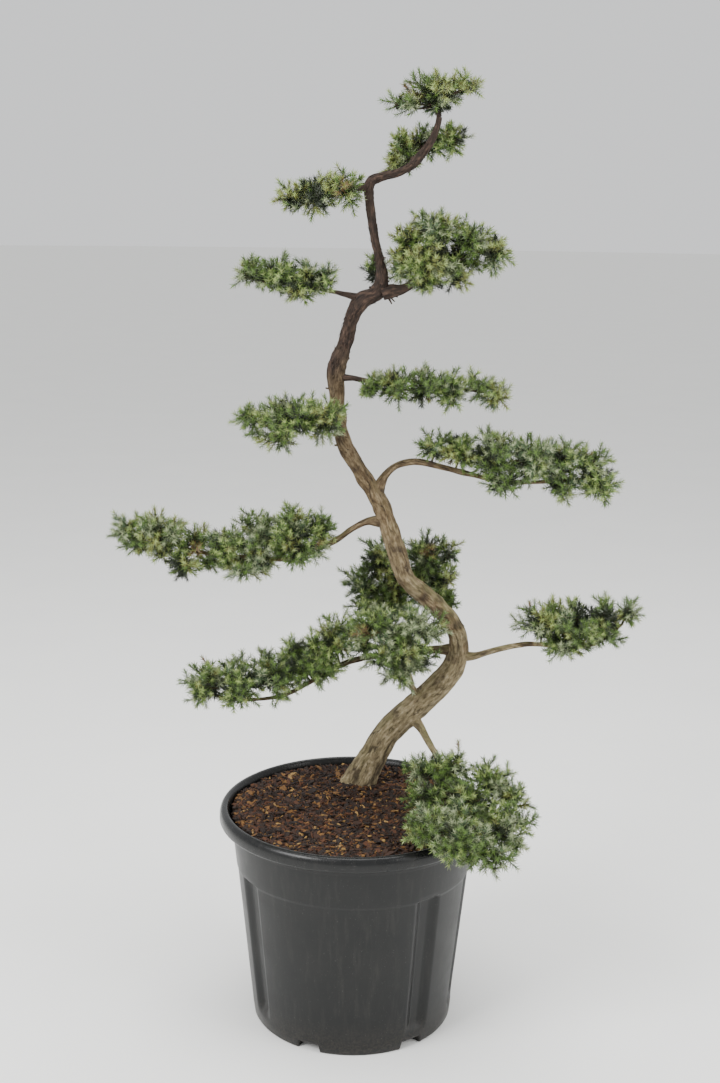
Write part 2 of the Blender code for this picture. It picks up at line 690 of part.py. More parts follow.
def make_mass(branch, branches, limbs, cutter, finish):
    """Stem, twigs, cores and sprays of one mass, fused into one closed solid."""
    rng = random.Random(branch.seed)
    path, radii, along = branch.stem()
    verts, faces = tube(path, radii, STEM_SIDES, along)
    target = add_object(branch.name + "_foliage", verts, faces, finish)
    if not (branch.has_bough or branch.on_tip):
        boolean(target, "DIFFERENCE", "EXACT", cutter=cutter)
        keep_main_body(target)
    others = [other for other in branches if other is not branch]

    def fits(point):
        return allowed(point, branch, others, limbs)

    shapes = []
    for k, (centre, half) in enumerate(branch.lobes):
        shapes.append(core(centre, half, branch.lobes[:k] + branch.lobes[k + 1:], fits, rng))
    shapes += [twig for twig in (lobe_twig(path, c, h) for c, h in branch.lobes) if twig]
    shapes += [spray(root, tip, rng) for root, tip in place_sprays(branch, fits, rng)]
    fuse(target, shapes, finish)


def fuse(target, shapes, finish):
    """Join closed shapes to the target in one Boolean union on a collection."""
    stem = target.data
    parts = bpy.data.collections.new(target.name + "_parts")
    bpy.context.scene.collection.children.link(parts)
    for k, (verts, faces) in enumerate(shapes):
        helper = add_object(f"{target.name}_piece_{k}", verts, faces, finish)
        bpy.context.scene.collection.objects.unlink(helper)
        parts.objects.link(helper)
    for solver in ("EXACT", "MANIFOLD"):
        target.data = stem
        boolean(target, "UNION", solver, collection=parts)
        keep_main_body(target)
        if is_closed(target):
            break
    for helper in list(parts.objects):
        bpy.data.objects.remove(helper, do_unlink=True)
    bpy.data.collections.remove(parts)


def is_closed(target):
    mesh = bmesh.new()
    mesh.from_mesh(target.data)
    closed = all(edge.is_manifold for edge in mesh.edges)
    mesh.free()
    return closed


def make_bough(branch, cutter, finish):
    """The bare limb from the trunk's bark to where it enters its foliage."""
    path, radii, along = branch.bough()
    verts, faces = tube(path, radii, BOUGH_SIDES, along)
    target = add_object(branch.name + "_bough", verts, faces, finish)
    boolean(target, "DIFFERENCE", "EXACT", cutter=cutter)
    keep_main_body(target)
    return target


def main():
    clear_scene()
    plastic = material("pot_plastic", (0.035, 0.036, 0.038), 0.55)
    mulch = material("bark_mulch", (0.055, 0.028, 0.018), 0.95)
    bark = material("juniper_bark", (0.22, 0.17, 0.12), 0.90)
    needles = material("juniper_needles", (0.11, 0.20, 0.08), 0.60)
    make_pot(plastic)
    make_soil(mulch)
    make_trunk(bark)
    branches = [Branch(name, row) for name, row in BRANCHES.items()]
    limbs = Limbs(branches)
    verts, faces = make_trunk_tube(SEAT)
    cutter = add_object("trunk_cutter", verts, faces, bark)
    for branch in branches:
        if branch.has_bough:
            make_bough(branch, cutter, bark)
        make_mass(branch, branches, limbs, cutter, needles)
    bpy.data.objects.remove(cutter, do_unlink=True)


main()
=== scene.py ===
"""The looks of a cloud-pruned shore juniper in a black nursery pot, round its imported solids.

Units are metres and +Z is up. The tables repeat the solids' own sizes, in millimetres, apart
from eight small lobes that a comment names.
"""

import math

import bpy
import numpy as np
from mathutils import Matrix, Vector


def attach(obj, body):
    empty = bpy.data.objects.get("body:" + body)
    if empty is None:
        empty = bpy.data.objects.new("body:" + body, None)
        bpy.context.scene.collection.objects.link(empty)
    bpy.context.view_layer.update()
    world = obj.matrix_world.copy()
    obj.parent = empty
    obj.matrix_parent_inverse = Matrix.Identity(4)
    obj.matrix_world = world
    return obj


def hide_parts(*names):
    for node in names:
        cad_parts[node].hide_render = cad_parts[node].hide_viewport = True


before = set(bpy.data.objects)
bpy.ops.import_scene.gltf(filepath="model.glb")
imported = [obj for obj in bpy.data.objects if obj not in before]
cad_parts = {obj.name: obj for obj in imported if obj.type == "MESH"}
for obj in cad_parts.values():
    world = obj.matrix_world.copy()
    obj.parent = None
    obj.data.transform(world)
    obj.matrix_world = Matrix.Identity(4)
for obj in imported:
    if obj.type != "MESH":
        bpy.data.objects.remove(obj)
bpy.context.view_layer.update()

MM = 0.001

# The pot: a fluted cup with a smooth collar and a heavy rolled lip.
POT_HEIGHT = 0.3486
POT_FOOT_RADIUS = 0.1587
POT_BODY_TOP_RADIUS = 0.1850
POT_COLLAR_RADIUS = 0.1925
POT_LIP_RADIUS = 0.2123
POT_LIP_INNER_RADIUS = 0.1995
POT_LIP_DROP = 0.0217
POT_WALL = 0.0035
POT_FLOOR = 0.0040
PANEL_MIDDLE = math.radians(-100.7)
PANEL_HALF_ANGLE = math.radians(42.0)
PANEL_ARCH_TOP = 0.2582
PANEL_ARCH_FOOT = 0.2559
FLUTES = ((42.0, 56.0), (80.0, 100.0), (124.0, 138.0))
FLUTE_DEPTH = 0.0085
FLUTE_FOOT = 0.038
FLUTE_RISE = 0.012
NOTCHES = 6
NOTCH_WIDTH_ANGLE = math.radians(13.0)
NOTCH_FIRST = math.radians(-114.5)
NOTCH_HEIGHT = 0.012
NOTCH_INNER_RADIUS = 0.138
SOIL_TOP = 0.3380

# The trunk's middle line and radius, from the cut at soil level to its tip.
TRUNK = [
    (8, 108, 338.35, 26.0), (14, 106, 356, 24.0), (30, 101, 389, 22.3), (55, 94, 436, 21.5),
    (98, 85, 482, 21.0), (133, 76, 521, 20.5), (154, 70, 552, 19.0), (162, 64, 581, 17.0),
    (160, 60, 612, 15.5), (143, 58, 642, 14.5), (112, 57, 671, 14.0), (77, 56, 703, 14.0),
    (64, 55, 739, 14.0), (51, 53, 778, 14.0), (33, 51, 827, 13.3), (3, 48, 874, 12.3),
    (-22, 46, 918, 11.5), (-31, 44, 964, 11.0), (-35, 42, 1003, 12.0), (-33, 40, 1039, 13.0),
    (-22, 38, 1074, 11.5), (-12, 36, 1110, 11.0), (2, 35, 1134, 12.5), (25, 34, 1148, 12.0),
    (32, 33, 1169, 9.5), (27, 32, 1199, 7.0), (21, 32, 1221, 6.3), (14, 31, 1263, 6.2),
    (11, 30, 1291, 7.2), (14, 30, 1308, 7.5), (30, 30, 1315, 6.6), (53, 29, 1321, 6.3),
    (73, 28, 1332, 6.3), (87, 27, 1348, 6.2), (100, 26, 1366, 5.6), (108, 25, 1386, 4.6),
    (111, 25, 1400, 4.2),
]
FLARE_HEIGHT = 0.028
FLARE_GAIN = 0.32
FLARE_RIDGES = 3
FLARE_EVEN = 0.7
FLARE_WAVE = 0.5
FLARE_TURN = 0.6

# Each branch starts on the trunk's middle line. Its first points are the bare bough, and the
# rest are the stem inside the foliage. The radii are at the trunk and at the far end.
# Each lobe of foliage is x, y, z, half length and half height, and "depth" is its half depth
# over its half length. Eight small lobes are the scene's own, not the solids': two in
# left_long, two in back, one in front_low, and three in front_right in place of two there.
BRANCHES = {
    "apex": {
        "bough": [(111, 25, 1400)], "tip": True, "radius": (4.1, 2.0), "depth": 1.15,
        "stem": [(107, 28, 1413), (107, 30, 1428)],
        "lobes": [(107, 35, 1435, 39, 24), (76, 25, 1421, 17, 12), (52, 20, 1416, 18, 10),
                  (152, 30, 1446, 17, 9), (109, 65, 1433, 29, 19), (107, 28, 1415, 17, 10)],
    },
    "below_apex": {
        "bough": [(77, 27, 1336)], "radius": (3.4, 1.8), "depth": 1.2,
        "stem": [(76, 50, 1345), (92, 78, 1358), (130, 82, 1367)],
        "lobes": [(68, 68, 1351, 21, 20), (60, 68, 1364, 12, 11), (82, 78, 1372, 18, 13),
                  (134, 72, 1371, 28, 18), (106, 82, 1366, 21, 18), (52, 60, 1336, 12, 7)],
    },
    "upper_left": {
        "bough": [(10, 30, 1300)], "radius": (3.8, 1.8), "depth": 1.35,
        "stem": [(-10, 30, 1298), (-58, 30, 1288), (-95, 30, 1282)],
        "lobes": [(-67, 32, 1290, 35, 26), (-25, 32, 1296, 25, 21), (-100, 32, 1283, 22, 15)],
    },
    "upper_right": {
        "bough": [(34, 34, 1146), (48, 32, 1150), (66, 30, 1154)], "radius": (7.0, 2.2),
        "depth": 1.5,
        "stem": [(98, 28, 1174), (135, 32, 1193), (180, 38, 1211)],
        "lobes": [(112, 35, 1242, 35, 22), (71, 30, 1232, 18, 19), (158, 40, 1227, 28, 20),
                  (194, 40, 1210, 26, 21), (95, 25, 1200, 41, 29), (143, 50, 1200, 32, 22),
                  (62, 35, 1193, 23, 28), (99, 25, 1170, 29, 15), (142, 20, 1172, 19, 16),
                  (19, 78, 1180, 11, 19)],
    },
    "left_upper": {
        "bough": [(5, 35, 1137), (-19, 33, 1143), (-38, 33, 1147)], "radius": (4.0, 1.9),
        "depth": 1.5,
        "stem": [(-72, 34, 1153), (-116, 34, 1158), (-156, 34, 1163)],
        "lobes": [(-162, 35, 1172, 25, 20), (-120, 35, 1171, 30, 24), (-92, 30, 1157, 33, 15),
                  (-80, 30, 1174, 13, 14), (-57, 35, 1167, 17, 17)],
    },
    "right_thin": {
        "bough": [(-34, 41, 1019), (-16, 36, 1019), (3, 31, 1017)], "radius": (3.6, 1.8),
        "depth": 1.5,
        "stem": [(61, 26, 1006), (107, 26, 1000), (152, 28, 1004), (200, 25, 1000)],
        "lobes": [(25, 28, 1014, 14, 11), (58, 28, 1011, 30, 19), (96, 25, 1009, 26, 25),
                  (138, 30, 1004, 25, 23), (178, 30, 1010, 23, 13), (205, 25, 997, 19, 16),
                  (14, 14, 1003, 12, 6)],
    },
    "left_middle": {
        "bough": [(-29, 43, 972)], "radius": (4.6, 1.8), "depth": 1.3,
        "stem": [(-46, 14, 970), (-73, -2, 961), (-121, -6, 954), (-163, -2, 956)],
        "lobes": [(-106, -3, 963, 49, 30), (-51, -14, 963, 30, 27), (-159, 4, 960, 24, 14),
                  (-118, -4, 936, 33, 14)],
    },
    "right_arch": {
        "bough": [(31, 51, 838), (35, 48, 856), (43, 44, 871), (58, 38, 885), (80, 34, 892),
                  (103, 32, 891), (128, 30, 885)],
        "radius": (5.8, 2.0), "depth": 1.5,
        "stem": [(171, 28, 875), (217, 26, 865), (277, 24, 865), (336, 26, 870), (369, 26, 875)],
        "lobes": [(118, 35, 917, 23, 15), (155, 30, 910, 29, 23), (207, 25, 906, 41, 35),
                  (260, 20, 903, 39, 33), (311, 30, 896, 34, 32), (353, 35, 896, 24, 22),
                  (364, 25, 865, 27, 25), (218, 5, 869, 25, 13), (308, 10, 862, 22, 15)],
    },
    "left_long": {
        "bough": [(42, 52, 795), (16, 50, 795), (-9, 46, 783), (-33, 42, 766)],
        "radius": (5.6, 2.0), "depth": 1.5,
        "stem": [(-66, 38, 751), (-112, 34, 737), (-182, 34, 739), (-244, 32, 747),
                 (-305, 34, 764), (-344, 32, 779)],
        "lobes": [(-354, 30, 785, 22, 12), (-308, 35, 780, 40, 25), (-268, 15, 735, 23, 22),
                  (-249, 40, 761, 28, 15), (-204, 40, 755, 34, 28), (-154, 40, 765, 40, 42),
                  (-101, 35, 783, 37, 33), (-88, 20, 759, 34, 18), (-59, 40, 786, 20, 21),
                  (-173, 20, 730, 37, 12), (-334, 28, 760, 22, 10),
                  (-303, 35, 747, 17, 9), (-229, 40, 731, 18, 11)],
    },
    "back": {
        "bough": [(74, 56, 705), (73, 85, 698)], "radius": (5.0, 2.0), "depth": 1.3,
        "stem": [(69, 115, 685), (72, 145, 686), (98, 150, 695)],
        "lobes": [(37, 118, 718, 32, 30), (13, 118, 674, 29, 27), (62, 145, 665, 36, 32),
                  (111, 132, 723, 34, 33), (148, 125, 728, 15, 19), (139, 125, 686, 21, 24),
                  (111, 152, 666, 33, 33), (152, 118, 652, 11, 13),
                  (22, 122, 641, 30, 13), (62, 126, 639, 34, 13)],
    },
    "front_low": {
        "bough": [(106, 86, 487), (98, 80, 503), (90, 66, 524), (85, 48, 547)],
        "radius": (5.4, 2.0), "depth": 1.1,
        "stem": [(75, 20, 580), (66, -4, 613), (64, -10, 637)],
        "lobes": [(33, -5, 641, 46, 26), (92, -16, 645, 37, 25), (64, -17, 616, 50, 15),
                  (84, 0, 582, 37, 13), (39, -10, 587, 22, 9), (66, 12, 557, 20, 7),
                  (7, -6, 613, 20, 13)],
    },
    "low_left": {
        "bough": [(159, 63, 584), (118, 74, 581), (62, 78, 572), (10, 60, 570), (-28, 38, 563)],
        "radius": (6.2, 2.2), "depth": 1.5,
        "stem": [(-72, 26, 540), (-117, 22, 518), (-182, 20, 511), (-226, 20, 519)],
        "lobes": [(-232, 20, 538, 33, 31), (-182, 20, 541, 44, 38), (-131, 20, 553, 41, 35),
                  (-80, 25, 571, 38, 24), (-32, 25, 611, 31, 36), (-99, 25, 596, 13, 16),
                  (-69, 20, 605, 14, 19), (-52, 10, 568, 27, 15)],
    },
    "low_right": {
        "bough": [(164, 65, 574), (187, 56, 577), (207, 50, 585), (232, 45, 594), (258, 40, 601),
                  (279, 36, 604)],
        "radius": (5.4, 2.0), "depth": 1.4,
        "stem": [(320, 32, 603), (367, 30, 605), (391, 30, 619), (415, 30, 640)],
        "lobes": [(290, 30, 643, 35, 25), (338, 30, 641, 44, 35), (388, 30, 650, 34, 28),
                  (420, 30, 660, 18, 17), (325, 20, 610, 36, 11), (380, 20, 627, 26, 15)],
    },
    "front_right": {
        "bough": [(90, 86, 465), (105, 70, 452), (117, 50, 436), (129, 22, 423)],
        "radius": (6.4, 2.2), "depth": 1.25,
        "stem": [(140, -20, 410), (151, -70, 398), (164, -120, 388), (172, -160, 378)],
        "lobes": [(120, -40, 421, 42, 14), (154, -60, 441, 18, 21), (207, -75, 420, 34, 20),
                  (242, -85, 400, 24, 24), (115, -90, 397, 33, 24), (168, -105, 399, 42, 28),
                  (255, -130, 374, 16, 18), (222, -150, 374, 34, 30), (113, -170, 381, 35, 24),
                  (158, -195, 379, 41, 28), (236, -165, 354, 15, 14), (208, -214, 356, 21, 15),
                  (180, -214, 358, 17, 13)],
    },
}

MASSES = [name + "_foliage" for name in BRANCHES]
BOUGHS = [name + "_bough" for name in BRANCHES if len(BRANCHES[name]["bough"]) > 1]

# The photograph's camera.
CAMERA_PLACE = (0.004, -2.235, 1.280)
CAMERA_TILT = math.radians(12.76)
CAMERA_TURN = math.radians(0.73)
CAMERA_SENSOR = 36.0
CAMERA_LENS = 1504.0 / 1083.0 * CAMERA_SENSOR

# Soft studio lamps: name, place, size and power.
LAMPS = (("key", (-2.4, -1.9, 2.6), 1.8, 150.0), ("fill", (2.5, -1.3, 1.5), 1.8, 60.0),
         ("top", (0.2, 0.1, 3.4), 2.4, 88.0))
LAMPS_AIM = (0.0, 0.0, 0.7)
SKY_STRENGTH = 1.05
FLOOR_SIDES = 96
FLOOR_RADII = np.array([0.5, 2.0, 8.0, 40.0])

# How finely the pot, mulch and wood are drawn.
POT_SIDES = 720
SOIL_SIDES = 160
SOIL_RINGS = 70
TRUNK_SIDES = 84
BOUGH_SIDES = 36
THIN_SIDES = 24
THIN_RADIUS = 0.0045
BARK_STEP = 0.0016
BOUGH_STEP = 0.0018

# The pot's profile: the rows in its round foot, the stretch over which the collar's edge
# stands out, and the lip from below its outer edge over the top and down inside, as steps in
# millimetres from its own edges.
FOOT_HEIGHTS = (0.017, 0.020, 0.023, 0.026, 0.029, 0.032, 0.035, 0.038, 0.042, 0.048, 0.060)
EDGE_BELOW = 0.004
EDGE_ABOVE = 0.002
COLLAR_PROUD = 0.001
FLUTE_SIDE = (1.0, 5.0)  # Degrees out of and into its edge over which a flute's side slopes.
NOTCH_EASE = 0.008
RIM_OVAL = 0.0022
LIP_LOW = POT_HEIGHT - POT_LIP_DROP
LIP_PROFILE = [(edge + out * MM, level + up * MM) for edge, level, steps in (
    (POT_COLLAR_RADIUS, LIP_LOW, [(3.0, -0.8)]),
    (POT_LIP_RADIUS, LIP_LOW, [(-4.0, -0.4), (-1.2, 0.4), (0.0, 3.0), (-0.3, 12.0)]),
    (POT_LIP_RADIUS, POT_HEIGHT, [(-1.6, -5.0), (-3.5, -2.0), (-6.0, -0.4), (-9.0, 0.0)]),
    (POT_LIP_INNER_RADIUS, POT_HEIGHT, [(1.5, -0.4), (0.0, -2.2), (-3.0, -10.0)]))
    for out, up in steps]

# Bark chips: how many, each kind's name, colour and share, and where three big ones lie.
CHIPS = 8000
CHIP_KINDS = (("dark", "#1a0e06", 0.42), ("brown", "#2d190b", 0.28), ("red", "#43250f", 0.17),
              ("tan", "#63441f", 0.105), ("pale", "#846739", 0.025))
CHIP_OUTLINE = np.array([(1.0, 0.1), (0.45, 1.0), (-0.6, 0.9), (-1.0, -0.1), (-0.4, -1.0),
                         (0.6, -0.8)])
BIG_CHIPS = np.array([(-0.140, -0.012), (-0.062, 0.040), (-0.018, 0.045)])
BIG_CHIP_KIND = 3
BIG_CHIP_HALF = (0.010, 0.0055)

# How young a branch's wood looks at least, whatever its height: 0 is old and pale, 1 young and
# dark.
OWN_AGE = {"left_long": 0.6, "low_left": 0.7, "right_thin": 0.9, "left_middle": 0.5, "back": 0.7}
SMALL_WOOD_AGE = 0.85
TRUNK_SUNK = 0.006  # How far the bark goes on under the mulch.

# A bough swells by this share where it leaves the trunk, over about this length.
COLLAR_SWELL = 0.75
COLLAR_LENGTH = 0.022

# Broken stubs and lifted flakes of bark. Most are on the trunk's upper wood, and the others
# anywhere along it.
UPPER_STUBS = 40
OTHER_STUBS = 22
FLAKES = 700  # In all.
UPPER_FLAKES = 480

# Three broken twigs that hang from the upper right bough's base.
SNAG_PLACE = (0.0381, 0.0334, 1.1472)
SNAG_WAYS = ((0.7, -0.2, -0.7), (0.45, -0.1, -0.85), (0.9, -0.2, -0.3))
SNAG_LENGTH = 0.019

# Leaders and their side shoots. The needles are a little larger than life, so that a quarter
# of a million of them fill the masses.
LEADERS = 1460
LEADER_REACH = 0.050
DEEP_SHARE = 0.25
SIDE_SHOOTS = 6
SIDE_LENGTH = 0.024
GOLDEN_TURN = math.radians(137.5)
LOBE_TWIGS = 9
TWIG_RADII = (0.0020, 0.0013)
SMALL_TWIG_RADII = (0.0012, 0.0008)
LEADER_ZONE, LEADER_WHORLS = 0.032, 13
SIDE_ZONE, SIDE_WHORLS = 0.030, 9
NEEDLE_LENGTH = 0.0091
NEEDLE_WIDTH = 0.0015
NEEDLE_THICK = 0.0008
NEEDLES_A_PIECE = 48000
FIRST_LEAN, LEAN_LOST = math.radians(64), math.radians(26)

# What grows keeps this far off the trunk, and outside this radius or above this height at the
# pot.
TRUNK_CLEAR = 0.006
POT_CLEAR_RADIUS = 0.219
POT_CLEAR_HEIGHT = 0.358

# Needles by age, shade and bloom: name, colour, and the name of those that its brightest become.
# The first kind is painted shade as well as old needles: deep leaders and shoots' bases get it.
NEEDLES = {
    "old_and_shaded": ("#1f2914", "old_and_shaded"),
    "mature": ("#4b5e2f", "fresh"),
    "fresh": ("#5a7434", "pale"),
    "blue": ("#526846", "bloom"),
    "grey": ("#6b7a55", "bloom"),
    "olive": ("#72763c", "pale"),
    "pale": ("#8f9f5e", "pale"),
    "bloom": ("#969f7a", "bloom"),
    "rust": ("#6d5636", "olive"),
}
# The kinds that are dealt out to leaders, and their shares in each mass.
DEALT = ("mature", "fresh", "blue", "grey", "olive", "rust")
COMMON = (0.35, 0.26, 0.10, 0.15, 0.13, 0.01)
SUNNY = (0.26, 0.28, 0.05, 0.13, 0.26, 0.02)
BLUISH = (0.34, 0.25, 0.15, 0.17, 0.08, 0.01)
SHARES = {"upper_left": SUNNY, "left_middle": SUNNY, "upper_right": SUNNY, "right_arch": BLUISH,
          "front_right": BLUISH, "low_right": BLUISH, "front_low": BLUISH, "left_upper": BLUISH}


def lattice_noise(points, size, seed):
    """Random heights at the corners of a cubic lattice, blended smoothly between: 0 to 1.

    Each corner's height is a hash of its three whole numbers and the seed.
    """
    scaled = points / size
    base = np.floor(scaled).astype(np.int64)
    part = scaled - base
    part = part * part * (3.0 - 2.0 * part)
    total = np.zeros(scaled.shape[:-1])
    for corner in range(8):
        bits = np.array([(corner >> k) & 1 for k in range(3)])
        key = (base + bits) * (73856093, 19349663, 83492791)
        key = (np.bitwise_xor.reduce(key, axis=-1) ^ (seed * 7919)) * 1274126177
        key = (key ^ (key >> 15)) * 69069
        height = ((key ^ (key >> 13)) & 0xFFFF) / 65535.0
        total += height * np.prod(np.where(bits, part, 1.0 - part), axis=-1)
    return total


def unit(vectors):
    """Each vector over its own length."""
    return vectors / np.maximum(np.linalg.norm(vectors, axis=-1, keepdims=True), 1e-12)


def turned(side, other, angle):
    """Directions in the plane of two others: cosine times the one plus sine times the other."""
    return np.cos(angle)[..., None] * side + np.sin(angle)[..., None] * other


def soft_rise(value, low, high):
    """Nought below low, one above high, and a smooth S between."""
    share = np.clip((value - low) / (high - low), 0.0, 1.0)
    return share * share * (3.0 - 2.0 * share)


def smooth_path(points, step):
    """Points about one step apart on a Catmull-Rom curve through the given rows."""
    rows = np.array(points, float)
    rows = np.vstack([2 * rows[0] - rows[1], rows, 2 * rows[-1] - rows[-2]])
    out = []
    for a, b, c, d in zip(rows[:-3], rows[1:-2], rows[2:-1], rows[3:]):
        t = np.arange(max(2, math.ceil(np.linalg.norm((c - b)[:3]) / step)))[:, None]
        t = t / len(t)
        out.append(0.5 * (2 * b + (c - a) * t + (2 * a - 5 * b + 4 * c - d) * t ** 2
                          + (3 * b - a - 3 * c + d) * t ** 3))
    return np.vstack(out + [rows[-2:-1]])


def linear(colour, factor=1.0):
    """A linear colour from an sRGB hex string, made darker or lighter by the factor."""
    channels = [int(colour[k:k + 2], 16) / 255.0 for k in (1, 3, 5)]
    channels = [c / 12.92 if c <= 0.04045 else ((c + 0.055) / 1.055) ** 2.4 for c in channels]
    return tuple(min(1.0, c * factor) for c in channels) + (1.0,)


def add(tree, kind, inputs=(), output=0, stops=(), **settings):
    """One output of a new node with its settings, inputs set or linked, and colour stops.

    A stop is a place and linear's own values.
    """
    made = tree.nodes.new("ShaderNode" + kind)
    for key, value in settings.items():
        setattr(made, key, value)
    for key, value in (inputs if isinstance(inputs, dict) else dict(enumerate(inputs))).items():
        if isinstance(value, bpy.types.NodeSocket):
            tree.links.new(value, made.inputs[key])
        else:
            made.inputs[key].default_value = value
    for k, (place, *shade) in enumerate(stops):
        held = made.color_ramp.elements
        element = held[k] if k < len(held) else held.new(place)
        element.position = place
        element.color = linear(*shade)
    return made.outputs[output]


def lumps(where, size, detail=4.0):
    """A noise's inputs for lumps about the given size across."""
    return {"Vector": where, "Scale": 1.0 / size, "Detail": detail, "Roughness": 0.6}


def finish(name, colour, roughness, **sockets):
    """A material with its Principled shader's sockets set. Returns it, its tree and shader."""
    made = bpy.data.materials.new(name)
    made.use_nodes = True
    shader = made.node_tree.nodes["Principled BSDF"]
    shader.inputs["Base Color"].default_value = linear(colour)
    shader.inputs["Roughness"].default_value = roughness
    for key, value in sockets.items():
        shader.inputs[key.replace("_", " ")].default_value = value
    return made, made.node_tree, shader


def wire(tree, shader, **sockets):
    """Links outputs to the shader's sockets by name."""
    for key, value in sockets.items():
        tree.links.new(value, shader.inputs[key.replace("_", " ")])


def bark():
    """Juniper bark, dry and dull: grey-tan plates with dark cracks along the limb, green where
    rain lies, redder half way up, and dark peeling strips on the young wood.

    Plates are 16 mm wide and six times as long, flecks 6 mm, fibres 1.8 mm and stains 24 mm.
    Real fibres are finer than that and wouldn't show.
    """
    made, tree, shader = finish("juniper_bark", "#7e7255", 0.88, Specular_IOR_Level=0.3)
    along = add(tree, "Attribute", (), "Vector", attribute_name="grain")
    crack, upward, young = (add(tree, "Attribute", (), "Fac", attribute_name=key)
                            for key in ("crack", "upward", "young"))
    where = add(tree, "TexCoord", (), "Object")
    height = add(tree, "SeparateXYZ", [where], "Z")
    blotch = add(tree, "TexNoise", lumps(where, 0.024))
    drawn = add(tree, "Mapping", {"Vector": along, "Scale": (1.0, 1.0, 0.08)})
    fibre = add(tree, "TexNoise", lumps(drawn, 0.0018))
    drawn = add(tree, "Mapping", {"Vector": along, "Scale": (1.0, 1.0, 0.45)})
    fleck = add(tree, "TexNoise", lumps(drawn, 0.0060, 7.0))
    bend = add(tree, "TexNoise", {"Vector": along, "Scale": 60.0}, "Color")
    bend = add(tree, "VectorMath", {0: bend, "Scale": 0.012}, operation="SCALE")
    moved = add(tree, "VectorMath", [along, bend], operation="ADD")
    moved = add(tree, "Mapping", {"Vector": moved, "Scale": (1.0, 1.0, 0.16)})
    plates = add(tree, "TexVoronoi", {"Vector": moved, "Scale": 62.0}, "Distance",
                 feature="DISTANCE_TO_EDGE")
    # A map whose upper end is linked fades one pattern by another.
    seamed = add(tree, "MapRange", [blotch, 0.46, 0.60])
    seam = add(tree, "MapRange", [plates, 0.038, 0.0, 0.0, seamed])
    green = add(tree, "MapRange", [upward, -0.2, 0.8, 0.0, 0.5])
    green = add(tree, "MapRange", [height, 0.98, 0.75, 0.0, green])
    patch = add(tree, "TexNoise", lumps(where, 0.03))
    old, ruddy, dark = (add(tree, "ValToRGB", [fleck], stops=stops) for stops in (
        ((0.30, "#423829"), (0.42, "#6b5f47"), (0.54, "#85785b"), (0.72, "#aa9c80")),
        ((0.30, "#34281c"), (0.44, "#574731"), (0.56, "#706048"), (0.74, "#928365")),
        ((0.30, "#17110e"), (0.50, "#30251f"), (0.64, "#4a392f"), (0.78, "#6b594a"))))
    colour = old
    for where_laid, tone in (((young, 0.02, 0.42), ruddy), ((young, 0.48, 0.90), dark),
                             ((patch, 0.42, 0.58, 0.0, green), linear("#62623a")),
                             ((blotch, 0.46, 0.32, 0.0, 0.7), linear("#30251d")),
                             ((fibre, 0.42, 0.28, 0.0, 0.3), linear("#2e251e")),
                             ((crack, 0.30, 1.00, 0.0, 0.7), linear("#231b15")),
                             ((seam, 0.0, 1.0, 0.0, 0.85), linear("#1d1611"))):
        share = add(tree, "MapRange", where_laid)
        colour = add(tree, "Mix", {0: share, 6: colour, 7: tone}, 2, data_type="RGBA")
    lift = add(tree, "Math", [fleck, seam], operation="SUBTRACT")
    lift = add(tree, "Math", [lift, fibre], operation="ADD")
    relief = add(tree, "Bump", {"Strength": 0.9, "Distance": 0.0014, "Height": lift})
    wire(tree, shader, Base_Color=colour, Normal=relief)
    return made


def plastic():
    """Moulded polypropylene: charcoal and satin, with faint streaks down its sides, dust low
    down, pale grit, and scuffs on a glossier lip.

    Clouds are 50 mm, streaks 9 mm by 90 mm, scuffs 6 mm, dust 4 mm and grit 1.6 mm. The grain
    is drawn at 2.2 mm, coarser than the mould's own, to show.
    """
    made, tree, shader = finish("moulded_polypropylene", "#151618", 0.45, Specular_IOR_Level=0.3)
    where = add(tree, "TexCoord", (), "Object")
    height = add(tree, "SeparateXYZ", [where], "Z")
    upright = add(tree, "Mapping", {"Vector": where, "Scale": (1.0, 1.0, 0.10)})
    level = add(tree, "Mapping", {"Vector": where, "Scale": (1.0, 1.0, 3.5)})
    cloud, streak, scuff, speck, grit, grained = (
        add(tree, "TexNoise", lumps(*values)) for values in (
            (where, 0.05, 5.0), (upright, 0.009), (level, 0.006, 6.0), (where, 0.004, 3.0),
            (where, 0.0016, 1.0), (where, 0.0022, 3.0)))
    # A map whose upper end is linked fades one pattern by another.
    dusty = add(tree, "MapRange", [height, 0.06, 0.0, 0.0, 0.35])
    scuffed = add(tree, "MapRange", [scuff, 0.60, 0.80, 0.0, 0.5])
    colour = add(tree, "ValToRGB", [cloud],
                 stops=((0.3, "#0d0e0f"), (0.5, "#111212"), (0.7, "#161616")))
    for where_laid, tone in (((streak, 0.52, 0.75, 0.0, 0.18), "#3a3834"),
                             ((speck, 0.38, 0.66, 0.0, dusty), "#474038"),
                             ((grit, 0.74, 0.77, 0.0, 0.4), "#6f6c67"),
                             ((height, 0.325, 0.330, 0.0, scuffed), "#565452")):
        share = add(tree, "MapRange", where_laid)
        colour = add(tree, "Mix", {0: share, 6: colour, 7: linear(tone)}, 2, data_type="RGBA")
    gloss = add(tree, "Math", [add(tree, "MapRange", [cloud, 0.3, 0.7, 0.32, 0.46]),
                               add(tree, "MapRange", [height, 0.325, 0.330, 0.0, 0.12])],
                operation="SUBTRACT")
    relief = add(tree, "Bump", {"Strength": 0.22, "Distance": 0.0005, "Height": grained})
    wire(tree, shader, Base_Color=colour, Roughness=gloss, Normal=relief)
    return made


